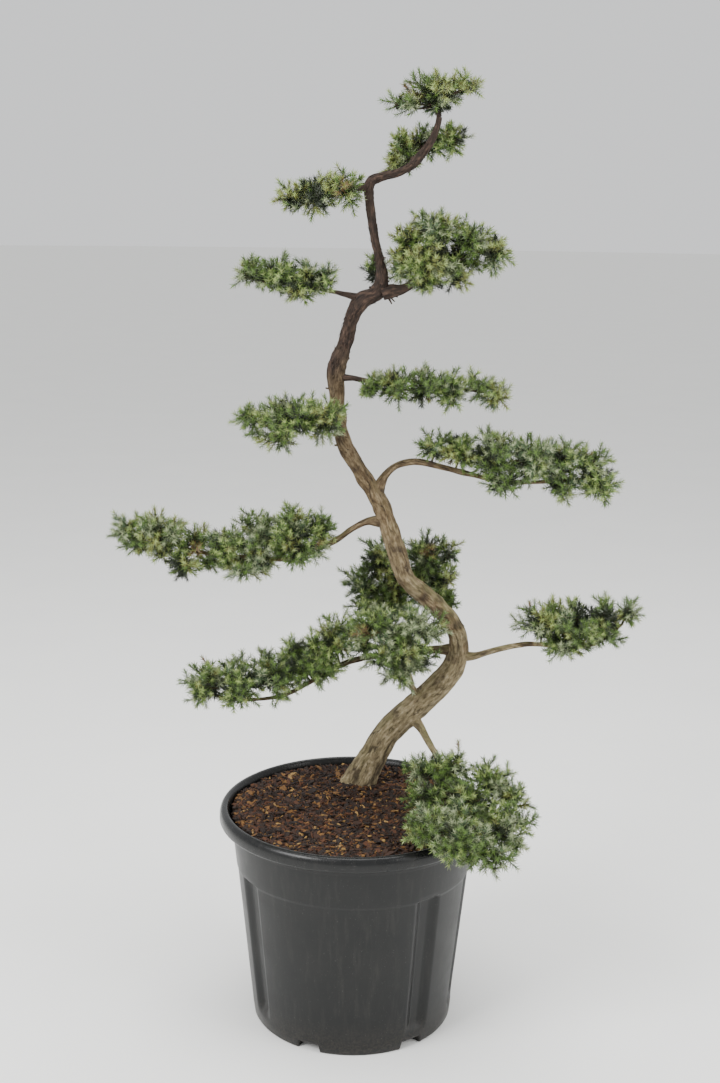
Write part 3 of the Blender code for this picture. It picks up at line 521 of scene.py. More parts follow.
def mulch():
    """Composted bark between the chips: dark, damp and red-brown, in crumbs of 5 mm."""
    made, tree, shader = finish("composted_bark", "#1c100a", 0.95, Specular_IOR_Level=0.2)
    crumbs = add(tree, "TexNoise", lumps(add(tree, "TexCoord", (), "Object"), 0.005, 6.0))
    colour = add(tree, "ValToRGB", [crumbs],
                 stops=((0.3, "#0a0503"), (0.5, "#180d05"), (0.68, "#2b1a0b")))
    relief = add(tree, "Bump", {"Strength": 0.8, "Distance": 0.002, "Height": crumbs})
    wire(tree, shader, Base_Color=colour, Normal=relief)
    return made


def mottled(name, colour, size, roughness, bump, spread=0.35):
    """A material whose colour, gloss and fine relief follow one noise of the given size.

    Waxy needles, young shoots, dry chips of bark and matt paper are all made with it.
    """
    made, tree, shader = finish(name, colour, roughness)
    cloud = add(tree, "TexNoise", lumps(add(tree, "TexCoord", (), "Object"), size, 3.0))
    tone = add(tree, "ValToRGB", [cloud], stops=(
        (0.32, colour, 1.0 - spread), (0.5, colour), (0.68, colour, 1.0 + spread)))
    gloss = add(tree, "MapRange", [cloud, 0.3, 0.7, roughness - 0.08, roughness + 0.08])
    relief = add(tree, "Bump", {"Strength": 0.4, "Distance": bump, "Height": cloud})
    wire(tree, shader, Base_Color=tone, Roughness=gloss, Normal=relief)
    return made


def surface(name, verts, faces, made_of, smooth=False, facts=None):
    """An object from arrays of points and triangles, with facts as attributes of its points."""
    mesh = bpy.data.meshes.new(name)
    mesh.vertices.add(len(verts))
    mesh.vertices.foreach_set("co", np.ascontiguousarray(verts, np.float32).ravel())
    mesh.loops.add(faces.size)
    mesh.loops.foreach_set("vertex_index", np.ascontiguousarray(faces, np.int32).ravel())
    mesh.polygons.add(len(faces))
    mesh.polygons.foreach_set("loop_start", np.arange(0, faces.size, 3, dtype=np.int32))
    mesh.update(calc_edges=True)
    for key, values in (facts or {}).items():
        flat = values.ndim == 1
        layer = mesh.attributes.new(key, "FLOAT" if flat else "FLOAT_VECTOR", "POINT")
        layer.data.foreach_set("value" if flat else "vector",
                               np.ascontiguousarray(values, np.float32).ravel())
    mesh.polygons.foreach_set("use_smooth", np.full(len(faces), smooth))
    mesh.materials.append(made_of)
    made = bpy.data.objects.new(name, mesh)
    bpy.context.scene.collection.objects.link(made)
    return made


def piece(name, verts, faces, made_of, smooth=False, facts=None):
    """A surface that rides on the plant."""
    made = surface(name, verts, faces, made_of, smooth, facts)
    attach(made, "root")
    return made


def grid_triangles(rings, sides):
    """Triangles of a tube of rings, wound to face outwards, without its ends."""
    k, s = np.meshgrid(np.arange(rings - 1), np.arange(sides), indexing="ij")
    a = k * sides + s
    b = k * sides + (s + 1) % sides
    first = np.stack([a, b, b + sides], -1).reshape(-1, 3)
    second = np.stack([a, b + sides, a + sides], -1).reshape(-1, 3)
    return np.concatenate([first, second])


def closed_tube(rings, sides):
    """The tube's triangles with fans to the point before the first ring and after the last."""
    s = np.arange(sides)
    after = (s + 1) % sides
    low, high = rings * sides, rings * sides + 1
    last = (rings - 1) * sides
    foot = np.stack([np.full(sides, low), after, s], -1)
    top = np.stack([np.full(sides, high), last + s, last + after], -1)
    return np.concatenate([grid_triangles(rings, sides), foot, top])


def copies(faces, count, points):
    """The triangles of many equal forms, each numbered on by its own count of points."""
    return (faces[None] + (np.arange(count) * points)[:, None, None]).reshape(-1, 3)


def bent(start, bend, end, t):
    """Points and directions on quadratic curves, at shares t: arrays (curve, share, 3)."""
    s, b, e = start[:, None], bend[:, None], end[:, None]
    t = np.asarray(t, float)
    t = t[None, :, None] if t.ndim == 1 else t[..., None]
    at = (1 - t) ** 2 * s + 2 * t * (1 - t) * b + t ** 2 * e
    return at, unit(2 * (1 - t) * (b - s) + 2 * t * (e - b))


def cross_frame(ahead, lean):
    """Two directions square to each direction and to each other."""
    side = unit(np.cross(ahead, lean[:, None]))
    return side, np.cross(ahead, side)


def twig_tubes(start, bend, end, first, last, parts, sides, rng):
    """Closed tapering tubes along quadratic curves, all at once."""
    t = np.linspace(0.0, 1.0, parts + 1)
    at, ahead = bent(start, bend, end, t)
    side, other = cross_frame(ahead, unit(rng.normal(size=start.shape)))
    radius = (first[:, None] * (1 - t) + last[:, None] * t)[:, :, None, None]
    rim = turned(side[:, :, None], other[:, :, None], np.arange(sides) * math.tau / sides)
    rings = (at[:, :, None] + radius * rim).reshape(len(start), -1, 3)
    verts = np.concatenate([rings, start[:, None], end[:, None]], axis=1)
    faces = copies(closed_tube(parts + 1, sides), len(start), verts.shape[1])
    return verts.reshape(-1, 3), faces


def spikes(base, ahead, across, length, width, thick):
    """Awl-shaped needles or flakes: a flat three-cornered foot drawn out to one point."""
    up = np.cross(ahead, across)
    half = 0.5 * width[:, None] * across
    tip = base + ahead * length[:, None] + up * thick[:, None] / 3
    verts = np.stack([base - half, base + half, base + up * thick[:, None], tip], axis=1)
    faces = copies(np.array([(0, 2, 1), (0, 1, 3), (1, 2, 3), (2, 0, 3)]), len(base), 4)
    return verts.reshape(-1, 3), faces


def pot_piece(made_of):
    """The pot's wall: one profile turned round, whose rows change with the angle.

    The body is a cone less the flutes' depth, which fades in over the round foot. The collar is
    a cone that stands proud of the body, and its edge falls by a parabola away from each
    panel's middle. The foot's notches lift the lowest rows. The rim is slightly oval.
    """
    angle = np.arange(POT_SIDES) * math.tau / POT_SIDES
    turn = np.degrees(angle - PANEL_MIDDLE) % 180.0
    flute = np.zeros(POT_SIDES)
    out, deep = FLUTE_SIDE
    for first, last in FLUTES:
        flute = np.maximum(flute, soft_rise(turn, first - out, first + deep)
                           * (1.0 - soft_rise(turn, last - deep, last + out)))
    near = np.minimum(1.0, np.radians(np.minimum(turn, 180.0 - turn)) / PANEL_HALF_ANGLE)
    arch = PANEL_ARCH_TOP - (PANEL_ARCH_TOP - PANEL_ARCH_FOOT) * near ** 2
    step = math.tau / NOTCHES
    off = np.abs((angle - NOTCH_FIRST + step / 2) % step - step / 2)
    lift = NOTCH_HEIGHT * (1.0 - soft_rise(off, NOTCH_WIDTH_ANGLE / 2 - NOTCH_EASE,
                                           NOTCH_WIDTH_ANGLE / 2 + NOTCH_EASE))
    one = np.ones(POT_SIDES)

    def body(z, inside=0.0):
        cone = POT_FOOT_RADIUS + (POT_BODY_TOP_RADIUS - POT_FOOT_RADIUS) * z / PANEL_ARCH_TOP
        round_foot = soft_rise(z, FLUTE_FOOT - 1.6 * FLUTE_RISE, FLUTE_FOOT + 0.4 * FLUTE_RISE)
        return cone - FLUTE_DEPTH * flute * round_foot - inside

    def collar(z):
        share = np.clip((z - PANEL_ARCH_FOOT) / (LIP_LOW - PANEL_ARCH_FOOT), 0.0, 1.0)
        return (POT_BODY_TOP_RADIUS + COLLAR_PROUD
                + (POT_COLLAR_RADIUS - POT_BODY_TOP_RADIUS) * share)

    rows = [(NOTCH_INNER_RADIUS * one, 0 * one), (NOTCH_INNER_RADIUS * one + 0.0006, lift),
            (body(lift) - 0.0040, lift), (body(lift) - 0.0012, lift + 0.0006),
            (body(lift + 0.003), lift + 0.003)]
    foot, edge = FOOT_HEIGHTS[-1], arch - EDGE_BELOW
    heights = [z * one for z in FOOT_HEIGHTS]
    heights += [foot + (edge - foot) * share for share in np.linspace(0.12, 1.0, 12)]
    rows += [(body(z), z) for z in heights]
    for share in (0.15, 0.5, 0.85, 1.0):
        z = edge + (EDGE_BELOW + EDGE_ABOVE) * share
        blend = soft_rise(share, 0.0, 1.0)
        rows.append((body(z) * (1 - blend) + collar(z) * blend, z))
    for share in np.linspace(0.1, 1.0, 8):
        z = arch + EDGE_ABOVE + (LIP_LOW - 0.001 - arch - EDGE_ABOVE) * share
        rows.append((collar(z), z))
    rows += [(radius * one, z * one) for radius, z in LIP_PROFILE]
    rows += [(collar(arch) - POT_WALL, arch + 0.002), (body(arch - 0.014, POT_WALL), arch - 0.014),
             (body(0.04 * one, POT_WALL), 0.04 * one),
             ((POT_FOOT_RADIUS - 2 * POT_WALL) * one, (NOTCH_HEIGHT + POT_FLOOR) * one),
             ((NOTCH_INNER_RADIUS - 0.010) * one, POT_FLOOR * one)]
    radius, height = (np.array(column) for column in zip(*rows))
    radius = radius * (1.0 + RIM_OVAL * np.sin(2 * angle + 0.7) * soft_rise(height, 0.15, 0.34))
    verts = np.stack([radius * np.cos(angle), radius * np.sin(angle), height], -1)
    ends = np.array([(0.0, 0.0, 0.0), (0.0, 0.0, POT_FLOOR)])
    verts = np.concatenate([verts.reshape(-1, 3), ends])
    made = piece("nursery_pot", verts, closed_tube(len(rows), POT_SIDES), made_of, True)
    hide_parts("pot")


def soil_height(x, y):
    """The mulch's surface: broad heaps, crumbs of a few millimetres, and a rise at the trunk."""
    flat = np.stack([x, y, 0 * x], -1)
    heaps = 0.0045 * (lattice_noise(flat, 0.06, 5) - 0.5)
    crumbs = 0.003 * (lattice_noise(flat, 0.012, 6) - 0.5)
    foot = np.hypot(x - TRUNK[0][0] * MM, y - TRUNK[0][1] * MM)
    return SOIL_TOP + 0.0005 + (heaps + crumbs) + 0.004 * np.exp(-(foot / 0.05) ** 2)


def soil_piece(made_of):
    """The mulch's top: rings out to the pot's wall, turned down there and closed below."""
    radius = np.concatenate([np.linspace(0.004, 0.192, SOIL_RINGS), [0.1935, 0.190]])
    angle = np.arange(SOIL_SIDES) * math.tau / SOIL_SIDES
    r, a = np.meshgrid(radius, angle, indexing="ij")
    x, y = r * np.cos(a), r * np.sin(a)
    z = soil_height(x, y)
    z[-2:] = np.array([[SOIL_TOP - 0.006], [SOIL_TOP - 0.03]])
    verts = np.concatenate([np.stack([x, y, z], -1).reshape(-1, 3),
                            [(0, 0, SOIL_TOP + 0.0005), (0, 0, SOIL_TOP - 0.03)]])
    faces = closed_tube(len(radius), SOIL_SIDES)[:, ::-1]
    made = piece("mulch_bed", verts, faces, made_of, True)
    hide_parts("potting_mix")


def chip_pieces():
    """Bark chips: six-sided slabs with uneven corners, lying nearly flat on the mulch.

    An outline of six corners, times half the length and half the width, is set out along two
    directions from the chip's place, once below it and once above. Half are slivers.
    """
    rng = np.random.default_rng(17)
    radius = 0.190 * np.sqrt(rng.uniform(0.0, 1.0, CHIPS))
    turn = rng.uniform(0.0, math.tau, CHIPS)
    place = np.stack([radius * np.cos(turn), radius * np.sin(turn), 0 * radius], -1)
    big = slice(0, len(BIG_CHIPS))
    place[big, :2] = BIG_CHIPS
    place[:, 2] = soil_height(place[:, 0], place[:, 1]) + rng.uniform(0.0, 0.0022, CHIPS)
    length = rng.gamma(4.0, 0.0009, CHIPS) + 0.0022
    width = length * np.where(rng.uniform(size=CHIPS) < 0.5, rng.uniform(0.12, 0.25, CHIPS),
                              rng.uniform(0.3, 0.6, CHIPS))
    length[big], width[big] = BIG_CHIP_HALF
    half = np.stack([length, width, rng.uniform(0.0005, 0.0012, CHIPS)], -1)
    limit = np.minimum(1.0, (0.196 - np.hypot(place[:, 0], place[:, 1])) / length)
    half *= np.clip(limit, 0.3, 1.0)[:, None]
    yaw = rng.uniform(0.0, math.tau, CHIPS)
    tip, roll = rng.normal(0, 0.28, CHIPS), rng.normal(0, 0.35, CHIPS)
    ahead = np.stack([np.cos(yaw) * np.cos(tip), np.sin(yaw) * np.cos(tip), np.sin(tip)], -1)
    flat = unit(np.cross(ahead, np.array((0.0, 0.0, 1.0))))
    side = turned(flat, np.cross(flat, ahead), roll)
    upper = np.cross(side, ahead)
    uneven = CHIP_OUTLINE * rng.uniform(0.72, 1.1, (CHIPS, 6, 2))
    ring = (place[:, None] + ahead[:, None] * (uneven[..., :1] * half[:, None, :1])
            + side[:, None] * (uneven[..., 1:] * half[:, None, 1:2]))
    rise = upper[:, None] * half[:, None, 2:]
    verts = np.concatenate([ring - rise, ring + rise], axis=1)
    s = np.arange(6)
    t = (s + 1) % 6
    faces = np.concatenate([np.stack([s, t, t + 6], -1), np.stack([s, t + 6, s + 6], -1),
                            [(6, 6 + k, 7 + k) for k in range(1, 5)],
                            [(0, k + 1, k) for k in range(1, 5)]])[:, ::-1]
    deal = rng.choice(len(CHIP_KINDS), CHIPS, p=[share for _, _, share in CHIP_KINDS])
    deal[big] = BIG_CHIP_KIND
    for k, (kind, colour, _) in enumerate(CHIP_KINDS):
        chosen = verts[deal == k]
        made_of = mottled("bark_chip_" + kind, colour, 0.004, 0.88, 0.0008, 0.45)
        piece("chips_" + kind, chosen.reshape(-1, 3), copies(faces, len(chosen), 12), made_of)


def wood_age(verts, own=0.0):
    """Nought on old pale wood, a half on reddish wood, one on young dark wood.

    It rises unevenly with height in two steps, and the trunk's crook is darker than the wood
    round it.
    """
    ragged = verts[:, 2] + 0.08 * (lattice_noise(verts, 0.045, 41) - 0.5)
    patch = soft_rise(lattice_noise(verts, 0.018, 43), 0.35, 0.6)
    crook = soft_rise(ragged, 0.55, 0.60) * (1.0 - soft_rise(ragged, 0.67, 0.72)) * patch
    return np.maximum.reduce([0.56 * soft_rise(ragged, 0.58, 0.90)
                              + 0.44 * soft_rise(ragged, 1.01, 1.07), 0.75 * crook,
                              np.full(len(verts), own)])


def plain_facts(verts, own=0.0):
    """The bark's facts for small wood with no grid of its own."""
    return {"crack": np.full(len(verts), 0.15), "upward": np.zeros(len(verts)), "grain": verts,
            "young": wood_age(verts, own)}


def bark_relief(around, radius, seed, ragged):
    """How far bark stands out, and how deep in a crack it is.

    Long plates lie between cracks where a noise stretched along the limb crosses its middle
    value, in patches. A broad noise swells the limb, and a fine one scales each plate. Young
    wood is more ragged.
    """
    lengthwise = around * (1.0, 1.0, 0.16)
    plates = lattice_noise(lengthwise, 0.0085, seed)
    scales = lattice_noise(around * (1.0, 1.0, 0.4), 0.0034, seed + 3)
    swell = lattice_noise(around, 0.018, seed + 7)
    patches = soft_rise(lattice_noise(around, 0.045, seed + 9), 0.42, 0.66)
    crack = np.exp(-((plates - 0.5) / 0.045) ** 2) * patches
    size = np.clip(radius / 0.014, 0.3, 1.25)
    return size * ((0.0022 + 0.0030 * ragged) * (swell - 0.5) + 0.0010 * (plates - 0.5)
                   + (0.0008 + 0.0016 * ragged) * (scales - 0.5) - 0.0012 * crack), crack


def limb_mesh(path, radii, sides, seed, collar=None, own=0.0):
    """A limb's points, triangles and facts: rings square to its path, with bark on top.

    Each ring's first direction is one fixed axis made square to the path, so rings don't twist.
    """
    ahead = unit(np.gradient(path, axis=0))
    fixed = np.eye(3)[np.argmin(np.abs(ahead).max(axis=0))]
    side = unit(fixed - (ahead @ fixed)[:, None] * ahead)
    other = np.cross(ahead, side)
    run = np.concatenate([[0.0], np.cumsum(np.linalg.norm(np.diff(path, axis=0), axis=1))])
    run_grid, angle = np.meshgrid(run, np.arange(sides) * math.tau / sides, indexing="ij")
    radius = np.repeat(radii[:, None], sides, axis=1)
    if collar is not None:
        radius = radius * collar(run_grid, angle)
    around = np.stack([(radius + 0.004) * np.cos(angle), (radius + 0.004) * np.sin(angle),
                       run_grid], -1)
    out, crack = bark_relief(around, radius, seed, wood_age(path, own)[:, None])
    across = turned(side[:, None], other[:, None], angle)
    verts = path[:, None] + (radius + out)[..., None] * across
    verts = np.concatenate([verts.reshape(-1, 3), path[:1], path[-1:]])
    facts = {"crack": np.append(crack.ravel(), (0.5, 0.5)),
             "upward": np.append(across[..., 2].ravel(), (0.0, 0.0)),
             "grain": np.concatenate([around.reshape(-1, 3), [(0, 0, 0), (0, 0, run[-1])]]),
             "young": wood_age(verts, own)}
    return verts, closed_tube(len(path), sides), facts


def trunk_piece(made_of):
    """The trunk, flaring into three root ridges at its foot. Returns its path and radii.

    The flare fades with height as a falling exponential, and its ridges are a cosine of the
    angle.
    """
    rows = smooth_path(np.array(TRUNK) * MM, BARK_STEP)
    path, radii = rows[:, :3], rows[:, 3]
    path = np.concatenate([path[:1] - (0, 0, TRUNK_SUNK), path])
    radii = np.append(radii[:1], radii)

    def flare(run, angle):
        near = np.exp(-run / FLARE_HEIGHT)
        return 1.0 + FLARE_GAIN * near * (FLARE_EVEN + FLARE_WAVE
                                          * np.cos(FLARE_RIDGES * angle + FLARE_TURN))

    verts, faces, facts = limb_mesh(path, radii, TRUNK_SIDES, 11, flare)
    made = piece("trunk_bark", verts, faces, made_of, True, facts)
    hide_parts("trunk")
    return path, radii


def branch_limb(row):
    """A branch's whole limb from the trunk's middle to its far end: path and radii."""
    path = smooth_path(np.array(row["bough"] + row["stem"]) * MM, BOUGH_STEP)
    run = np.concatenate([[0.0], np.cumsum(np.linalg.norm(np.diff(path, axis=0), axis=1))])
    first, last = (r * MM for r in row["radius"])
    return path, first + (last - first) * run / run[-1]


def bough_piece(made_of):
    """All boughs in one piece, each swelling by a bell curve where it leaves the trunk."""
    def collar(run, angle):
        return 1.0 + COLLAR_SWELL * np.exp(-(run / COLLAR_LENGTH) ** 2)

    limbs, count = [], 0
    for k, (name, row) in enumerate(BRANCHES.items()):
        path, radii = branch_limb(row)
        sides = BOUGH_SIDES if radii[0] > THIN_RADIUS else THIN_SIDES
        verts, faces, facts = limb_mesh(path, radii, sides, 31 + k,
                                        None if row.get("tip") else collar, OWN_AGE.get(name, 0.0))
        limbs.append((verts, faces + count, facts))
        count += len(verts)
    verts, faces, facts = zip(*limbs)
    facts = {key: np.concatenate([known[key] for known in facts]) for key in facts[0]}
    made = piece("bough_bark", np.concatenate(verts), np.concatenate(faces), made_of,
                 True, facts)
    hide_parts(*BOUGHS)


def stub_piece(made_of, path, radii):
    """Broken stubs, hanging snags and lifted bark flakes, mostly on the dark upper wood.

    A stub is a short tapering tube out of the trunk's middle. A flake is a flat spike along
    the bark that leans out from it.
    """
    rng = np.random.default_rng(5)
    share = np.concatenate([rng.uniform(0.55, 0.80, UPPER_STUBS),
                            rng.uniform(0.10, 0.97, OTHER_STUBS)])
    row = (share * (len(path) - 1)).astype(int)
    out = rng.normal(size=(len(row), 3)) * (1.0, 1.0, 0.35)
    out[-3:] = SNAG_WAYS
    length = radii[row] + rng.uniform(0.0010, 0.0050, len(row))
    length[-3:] = SNAG_LENGTH
    start = path[row]
    start[-3:] = SNAG_PLACE
    end = start + unit(out) * length[:, None]
    thick = rng.uniform(0.0012, 0.0026, len(row)) * np.clip(radii[row] / 0.011, 0.6, 1.2)
    first = twig_tubes(start, 0.5 * (start + end), end, thick * 1.7, thick * 0.6, 3, 6, rng)
    share = rng.uniform(0.02, 0.98, FLAKES)
    share[:UPPER_FLAKES] = rng.uniform(0.62, 0.97, UPPER_FLAKES)
    row = (share * (len(path) - 2)).astype(int)
    turn = np.where(rng.uniform(size=FLAKES) < 0.5, 1, -1)[:, None]
    ahead = unit(path[row + 1] - path[row]) * turn
    radial = unit(np.cross(ahead, rng.normal(size=(FLAKES, 3))))
    lean = rng.uniform(0.08, 0.36, FLAKES)[:, None]
    second = spikes(path[row] + radial * (radii[row, None] * 0.95), unit(ahead + radial * lean),
                    np.cross(ahead, radial), rng.uniform(0.004, 0.010, FLAKES),
                    rng.uniform(0.0018, 0.0036, FLAKES), np.full(FLAKES, 0.0009))
    verts = np.concatenate([first[0], second[0]])
    faces = np.concatenate([first[1], second[1] + len(first[0])])
    piece("bark_stubs", verts, faces, made_of, False, plain_facts(verts))


def golden(count, turn):
    """Directions spread evenly over a sphere by the golden angle."""
    k = np.arange(count)
    z = 1.0 - 2.0 * (k + 0.5) / count
    angle = turn + k * math.pi * (3.0 - math.sqrt(5.0))
    flat = np.sqrt(1.0 - z * z)
    return np.stack([flat * np.cos(angle), flat * np.sin(angle), z], -1)


def lobes_of(row):
    """The middles and half axes of a mass's lobes."""
    table = np.array(row["lobes"], float) * MM
    half = np.stack([table[:, 3], table[:, 3] * row["depth"], table[:, 4]], -1)
    return table[:, :3], half


def lobe_area(half):
    """Knud Thomsen's formula for the surface of an ellipsoid."""
    p = 1.6075
    a, b, c = half.T
    return 4 * math.pi * (((a * b) ** p + (a * c) ** p + (b * c) ** p) / 3) ** (1 / p)


def reach(points, centres, halves):
    """How far out each point lies in each lobe: one on its surface, nought at its middle."""
    return np.linalg.norm((points[:, None] - centres) / halves, axis=-1)


def free(points, trunk):
    """Whether each point keeps off the trunk and off the pot and its mulch."""
    off_trunk = (np.linalg.norm(points[:, None] - trunk[0], axis=-1) - trunk[1]).min(axis=1)
    off_axis = np.hypot(points[:, 0], points[:, 1])
    return (off_trunk > TRUNK_CLEAR) & ((off_axis > POT_CLEAR_RADIUS)
                                        | (points[:, 2] > POT_CLEAR_HEIGHT))


def lobe_twigs(stem, centre, half, rng):
    """A sagging twig from the stem to a lobe's heart, and short ones spread round on from it.

    Returns them, and the joints on them that leaders may leave.
    """
    near = stem[np.argmin(np.linalg.norm(stem - centre, axis=1))]
    heart = centre - half * (0, 0, 0.2)
    mid = 0.5 * (near + heart) - (0, 0, 0.15 * np.linalg.norm(heart - near))
    side = golden(LOBE_TWIGS, rng.uniform(0.0, math.tau)) + (0, 0, 0.15)
    ends = heart + side * half * rng.uniform(0.45, 0.65, (LOBE_TWIGS, 1))
    bends = 0.5 * (heart + ends) - (0, 0, 0.1) * half
    hearts = np.repeat(heart[None], LOBE_TWIGS, 0)
    joints = np.concatenate([bent(hearts, bends, ends, (0.35, 0.7, 1.0))[0].reshape(-1, 3),
                             bent(near[None], mid[None], heart[None], (0.3, 0.7, 1.0))[0][0]])
    twigs = [(near, mid, heart, *TWIG_RADII)]
    twigs += [(heart, b, e, *SMALL_TWIG_RADII) for b, e in zip(bends, ends)]
    return twigs, joints


def lobe_leaders(k, centres, halves, joints, share, trunk, rng):
    """The leaders of lobe k: curves from a joint to a tip near the lobe's surface.

    Tips are spread over the lobe by the golden angle and moved out or in by a noise, and some
    stay deep inside. Tips inside another lobe, on the trunk, on the pot and, here and there,
    below the lobe are left out. A leader starts at the joint that is nearest to its usual
    length away and most nearly behind it.
    """
    centre, half = centres[k], halves[k]
    count = max(5, round(share * lobe_area(half[None])[0]))
    out = unit(golden(count, rng.uniform(0.0, math.tau)) + rng.normal(0, 0.15, (count, 3)))
    deep = rng.uniform(size=count) < DEEP_SHARE
    far = np.where(deep, rng.uniform(0.5, 0.8, count), rng.uniform(0.87, 1.05, count))
    lump = 0.010 * (lattice_noise(centre + half * out, 0.020, 9) - 0.5) \
        + 0.009 * rng.uniform(size=count) ** 3
    tip = centre + half * out * far[:, None] + out * np.where(deep, 0.0, lump)[:, None]
    others = reach(tip, np.delete(centres, k, 0), np.delete(halves, k, 0)).min(axis=1)
    thin = (out[:, 2] < -0.45) & (rng.uniform(size=count) < 0.3)
    keep = (others > np.where(deep, 0.45, 0.78)) & free(tip, trunk) & ~thin
    tip, deep, out = tip[keep], deep[keep], out[keep]
    gap = tip[:, None] - joints
    away = np.linalg.norm(gap, axis=-1)
    along = np.einsum("ijk,ik->ij", gap, out) / np.maximum(away, 1e-6)
    start = joints[np.argmin(np.abs(away - LEADER_REACH) + 0.04 * (1.0 - along), axis=1)]
    span = np.linalg.norm(tip - start, axis=1, keepdims=True)
    return start, start + 0.52 * (tip - start) - (0, 0, 0.15) * span, tip, deep


def side_shoots(start, bend, tip, trunk, rng):
    """Side shoots of all leaders, and which leader each is on.

    They leave it in a spiral by the golden angle, lean forwards at about 45 degrees, and get
    shorter towards its tip.
    """
    count = len(start)
    level = np.linspace(0.38, 0.93, SIDE_SHOOTS) + rng.uniform(-0.04, 0.04, (count, SIDE_SHOOTS))
    at, ahead = bent(start, bend, tip, level)
    side, other = cross_frame(ahead, unit(rng.normal(size=start.shape)))
    angle = rng.uniform(0.0, math.tau, (count, 1)) + np.arange(SIDE_SHOOTS) * GOLDEN_TURN
    radial = turned(side, other, angle)
    span = np.linalg.norm(tip - start, axis=1)[:, None]
    length = np.minimum(SIDE_LENGTH * (1.15 - 0.55 * level), 0.6 * span) \
        * rng.uniform(0.75, 1.2, level.shape)
    outward = unit(0.72 * ahead + 0.68 * radial + (0, 0, 0.10)) * length[..., None]
    sides = [at, at + 0.45 * outward + 0.12 * radial * length[..., None], at + outward]
    sides = [points.reshape(-1, 3) for points in sides]
    keep = free(sides[2], trunk)
    return [points[keep] for points in sides], np.repeat(np.arange(count), SIDE_SHOOTS)[keep]


def grow(row, share, trunk, rng):
    """One mass: twigs from the stem into each lobe, leaders from those, and side shoots."""
    centres, halves = lobes_of(row)
    stem, _ = branch_limb(row)
    stem = stem[len(stem) // 6:]
    twigs, leaders = [], []
    for k in range(len(centres)):
        more, joints = lobe_twigs(stem, centres[k], halves[k], rng)
        twigs += more
        leaders.append(lobe_leaders(k, centres, halves, joints, share, trunk, rng))
    *leaders, deep = (np.concatenate(column) for column in zip(*leaders))
    sides, owner = side_shoots(*leaders, trunk, rng)
    return [np.array(column) for column in zip(*twigs)], leaders, deep, sides, owner


def needles_on(start, bend, tip, zone, whorls, rng):
    """Whorls of three needles up each shoot's last stretch, leaning less towards its tip.

    A needle's direction is cos(lean) along the shoot plus sin(lean) out from it. Whorls turn
    by 60 degrees each. Most needles in the first third are old and painted in shade, and those
    at the tip bright.
    """
    count = len(start)
    span = np.linalg.norm(tip - start, axis=1)
    bare = np.clip(1.0 - zone / np.maximum(span, 1e-6), 0.08, 0.8)
    level = np.linspace(0.0, 1.0, whorls)
    at, ahead = bent(start, bend, tip, bare[:, None] + (1.0 - bare[:, None]) * level)
    side, other = cross_frame(ahead, unit(rng.normal(size=start.shape)))
    turn = np.arange(3) * math.tau / 3 + np.arange(whorls)[:, None] * math.pi / 3
    angle = turn + rng.uniform(-0.35, 0.35, (count, whorls, 3))
    radial = turned(side[:, :, None], other[:, :, None], angle)
    lean = (FIRST_LEAN - LEAN_LOST * level)[:, None] + rng.normal(0, 0.16, angle.shape)
    out = unit(turned(ahead[:, :, None], radial, lean))
    across = unit(np.cross(out, radial))
    size = (0.74 + 0.36 * np.sin(math.pi * (0.15 + 0.75 * level)))[:, None] \
        * rng.uniform(0.8, 1.15, angle.shape)
    base = at[:, :, None] + radial * 0.0005
    luck = rng.uniform(size=angle.shape)
    bright = (np.arange(whorls) >= whorls - 2)[:, None] | (luck < 0.14)
    # Needles low on the shoot get the darkest kind: partly age, partly painted shade.
    old = (level < 0.34)[:, None] & (luck > 0.35)
    return [base.reshape(-1, 3), out.reshape(-1, 3), across.reshape(-1, 3), size.ravel()], \
        bright.ravel(), old.ravel()


def needle_pieces(heap):
    """Each kind's needles, cut into pieces of no more than a set count."""
    for kind, (colour, _) in NEEDLES.items():
        base, out, across, size = (np.concatenate(column) for column in zip(*heap[kind]))
        made_of = mottled("juniper_needle_" + kind, colour, 0.006, 0.42, 0.0003, 0.22)
        for part, low in enumerate(range(0, len(base), NEEDLES_A_PIECE)):
            cut = slice(low, low + NEEDLES_A_PIECE)
            verts, faces = spikes(base[cut], out[cut], across[cut], NEEDLE_LENGTH * size[cut],
                                  NEEDLE_WIDTH * (0.6 + 0.4 * size[cut]),
                                  np.full(len(base[cut]), NEEDLE_THICK))
            made = piece(f"needles_{kind}_{part}", verts, faces, made_of)
            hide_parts(*MASSES)


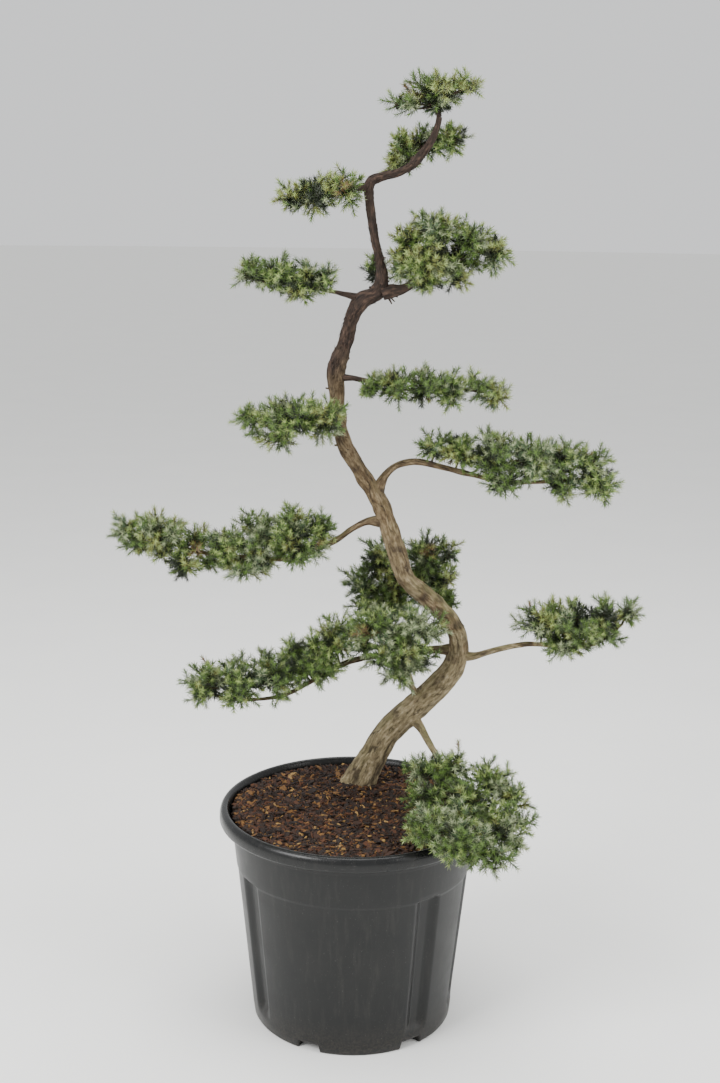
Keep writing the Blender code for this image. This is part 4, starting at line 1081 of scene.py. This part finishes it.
def foliage_pieces(made_of_bark, trunk):
    """Every mass's twigs, shoots and needles, joined by kind.

    A leader has one kind of needle. Most of its side shoots share it, and most deep leaders
    have the darkest needles, as painted shade inside the mass.
    """
    rng = np.random.default_rng(23)
    trunk = (trunk[0][::6], trunk[1][::6])
    areas = sum(lobe_area(lobes_of(row)[1]).sum() for row in BRANCHES.values())
    heap = {name: [] for name in NEEDLES}
    wood, leading, siding = [], [], []
    for name, row in BRANCHES.items():
        twigs, leaders, deep, sides, owner = grow(row, LEADERS / areas, trunk, rng)
        wood.append(twigs)
        leading.append(leaders)
        siding.append(sides)
        odds = SHARES.get(name, COMMON)
        kinds = rng.choice(len(DEALT), len(deep), p=odds) + 1
        # Most deep leaders get the darkest kind, as painted shade inside the mass.
        kinds[deep & (rng.uniform(size=len(deep)) < 0.7)] = 0
        strays = rng.choice(len(DEALT), len(owner), p=odds) + 1
        side_kinds = np.where(rng.uniform(size=len(owner)) < 0.2, strays, kinds[owner])
        for shoots, dealt, zone, whorls in ((leaders, kinds, LEADER_ZONE, LEADER_WHORLS),
                                            (sides, side_kinds, SIDE_ZONE, SIDE_WHORLS)):
            facts, bright, old = needles_on(*shoots, zone, whorls, rng)
            # Old needles low on each shoot get the darkest kind too, as age and painted shade.
            dealt = np.where(old, 0, np.repeat(dealt, whorls * 3))
            for k, kind in enumerate(("old_and_shaded",) + DEALT):
                for target, chosen in ((kind, (dealt == k) & ~bright),
                                       (NEEDLES[kind][1], (dealt == k) & bright)):
                    heap[target].append([fact[chosen] for fact in facts])
    needle_pieces(heap)
    start, bend, end, first, last = (np.concatenate(column) for column in zip(*wood))
    verts, faces = twig_tubes(start, bend, end, first, last, 4, 5, rng)
    piece("twigs", verts, faces, made_of_bark, True, plain_facts(verts, SMALL_WOOD_AGE))
    green = mottled("juniper_shoot", "#4c482c", 0.005, 0.7, 0.0004)
    for name, group, radius, parts in (("leaders", leading, 0.0009, 4),
                                       ("shoots", siding, 0.0007, 2)):
        start, bend, end = (np.concatenate(column) for column in zip(*group))
        thick = np.full(len(start), radius)
        verts, faces = twig_tubes(start, bend, end, thick, thick * 0.5, parts, 3, rng)
        piece(name, verts, faces, green)


def stage():
    """A wide pale floor under a pale sky, soft studio lights and the photograph's camera."""
    angle = np.arange(FLOOR_SIDES) * math.tau / FLOOR_SIDES
    rim = np.stack([np.cos(angle), np.sin(angle), 0 * angle], -1)
    verts = np.concatenate([(FLOOR_RADII[:, None, None] * rim).reshape(-1, 3), [(0, 0, 0)]])
    faces = closed_tube(len(FLOOR_RADII), FLOOR_SIDES)[:-FLOOR_SIDES, ::-1]
    paper = mottled("matt_paper", "#f3f3f0", 0.3, 0.88, 0.0002, 0.01)
    floor = surface("studio_floor", verts, faces, paper)
    for name, place, size, power in LAMPS:
        lamp = bpy.data.lights.new(name, "AREA")
        lamp.size = size
        lamp.energy = power
        made = bpy.data.objects.new(name, lamp)
        turn = (Vector(place) - Vector(LAMPS_AIM)).to_track_quat("Z", "Y")
        made.matrix_world = Matrix.Translation(place) @ turn.to_matrix().to_4x4()
        bpy.context.scene.collection.objects.link(made)
    world = bpy.data.worlds.new("studio")
    world.use_nodes = True
    sky = world.node_tree.nodes["Background"]
    sky.inputs["Color"].default_value = linear("#f6f7f8")
    sky.inputs["Strength"].default_value = SKY_STRENGTH
    bpy.context.scene.world = world
    lens = bpy.data.cameras.new("camera")
    lens.sensor_fit = "VERTICAL"
    lens.sensor_height = CAMERA_SENSOR
    lens.lens = CAMERA_LENS
    camera = bpy.data.objects.new("camera", lens)
    camera.matrix_world = (Matrix.Translation(CAMERA_PLACE)
                           @ Matrix.Rotation(math.pi / 2 - CAMERA_TILT, 4, "X")
                           @ Matrix.Rotation(CAMERA_TURN, 4, "Z"))
    bpy.context.scene.collection.objects.link(camera)
    bpy.context.scene.camera = camera


stage()
bark_finish = bark()
pot_piece(plastic())
soil_piece(mulch())
chip_pieces()
trunk_line = trunk_piece(bark_finish)
bough_piece(bark_finish)
stub_piece(bark_finish, *trunk_line)
foliage_pieces(bark_finish, trunk_line)
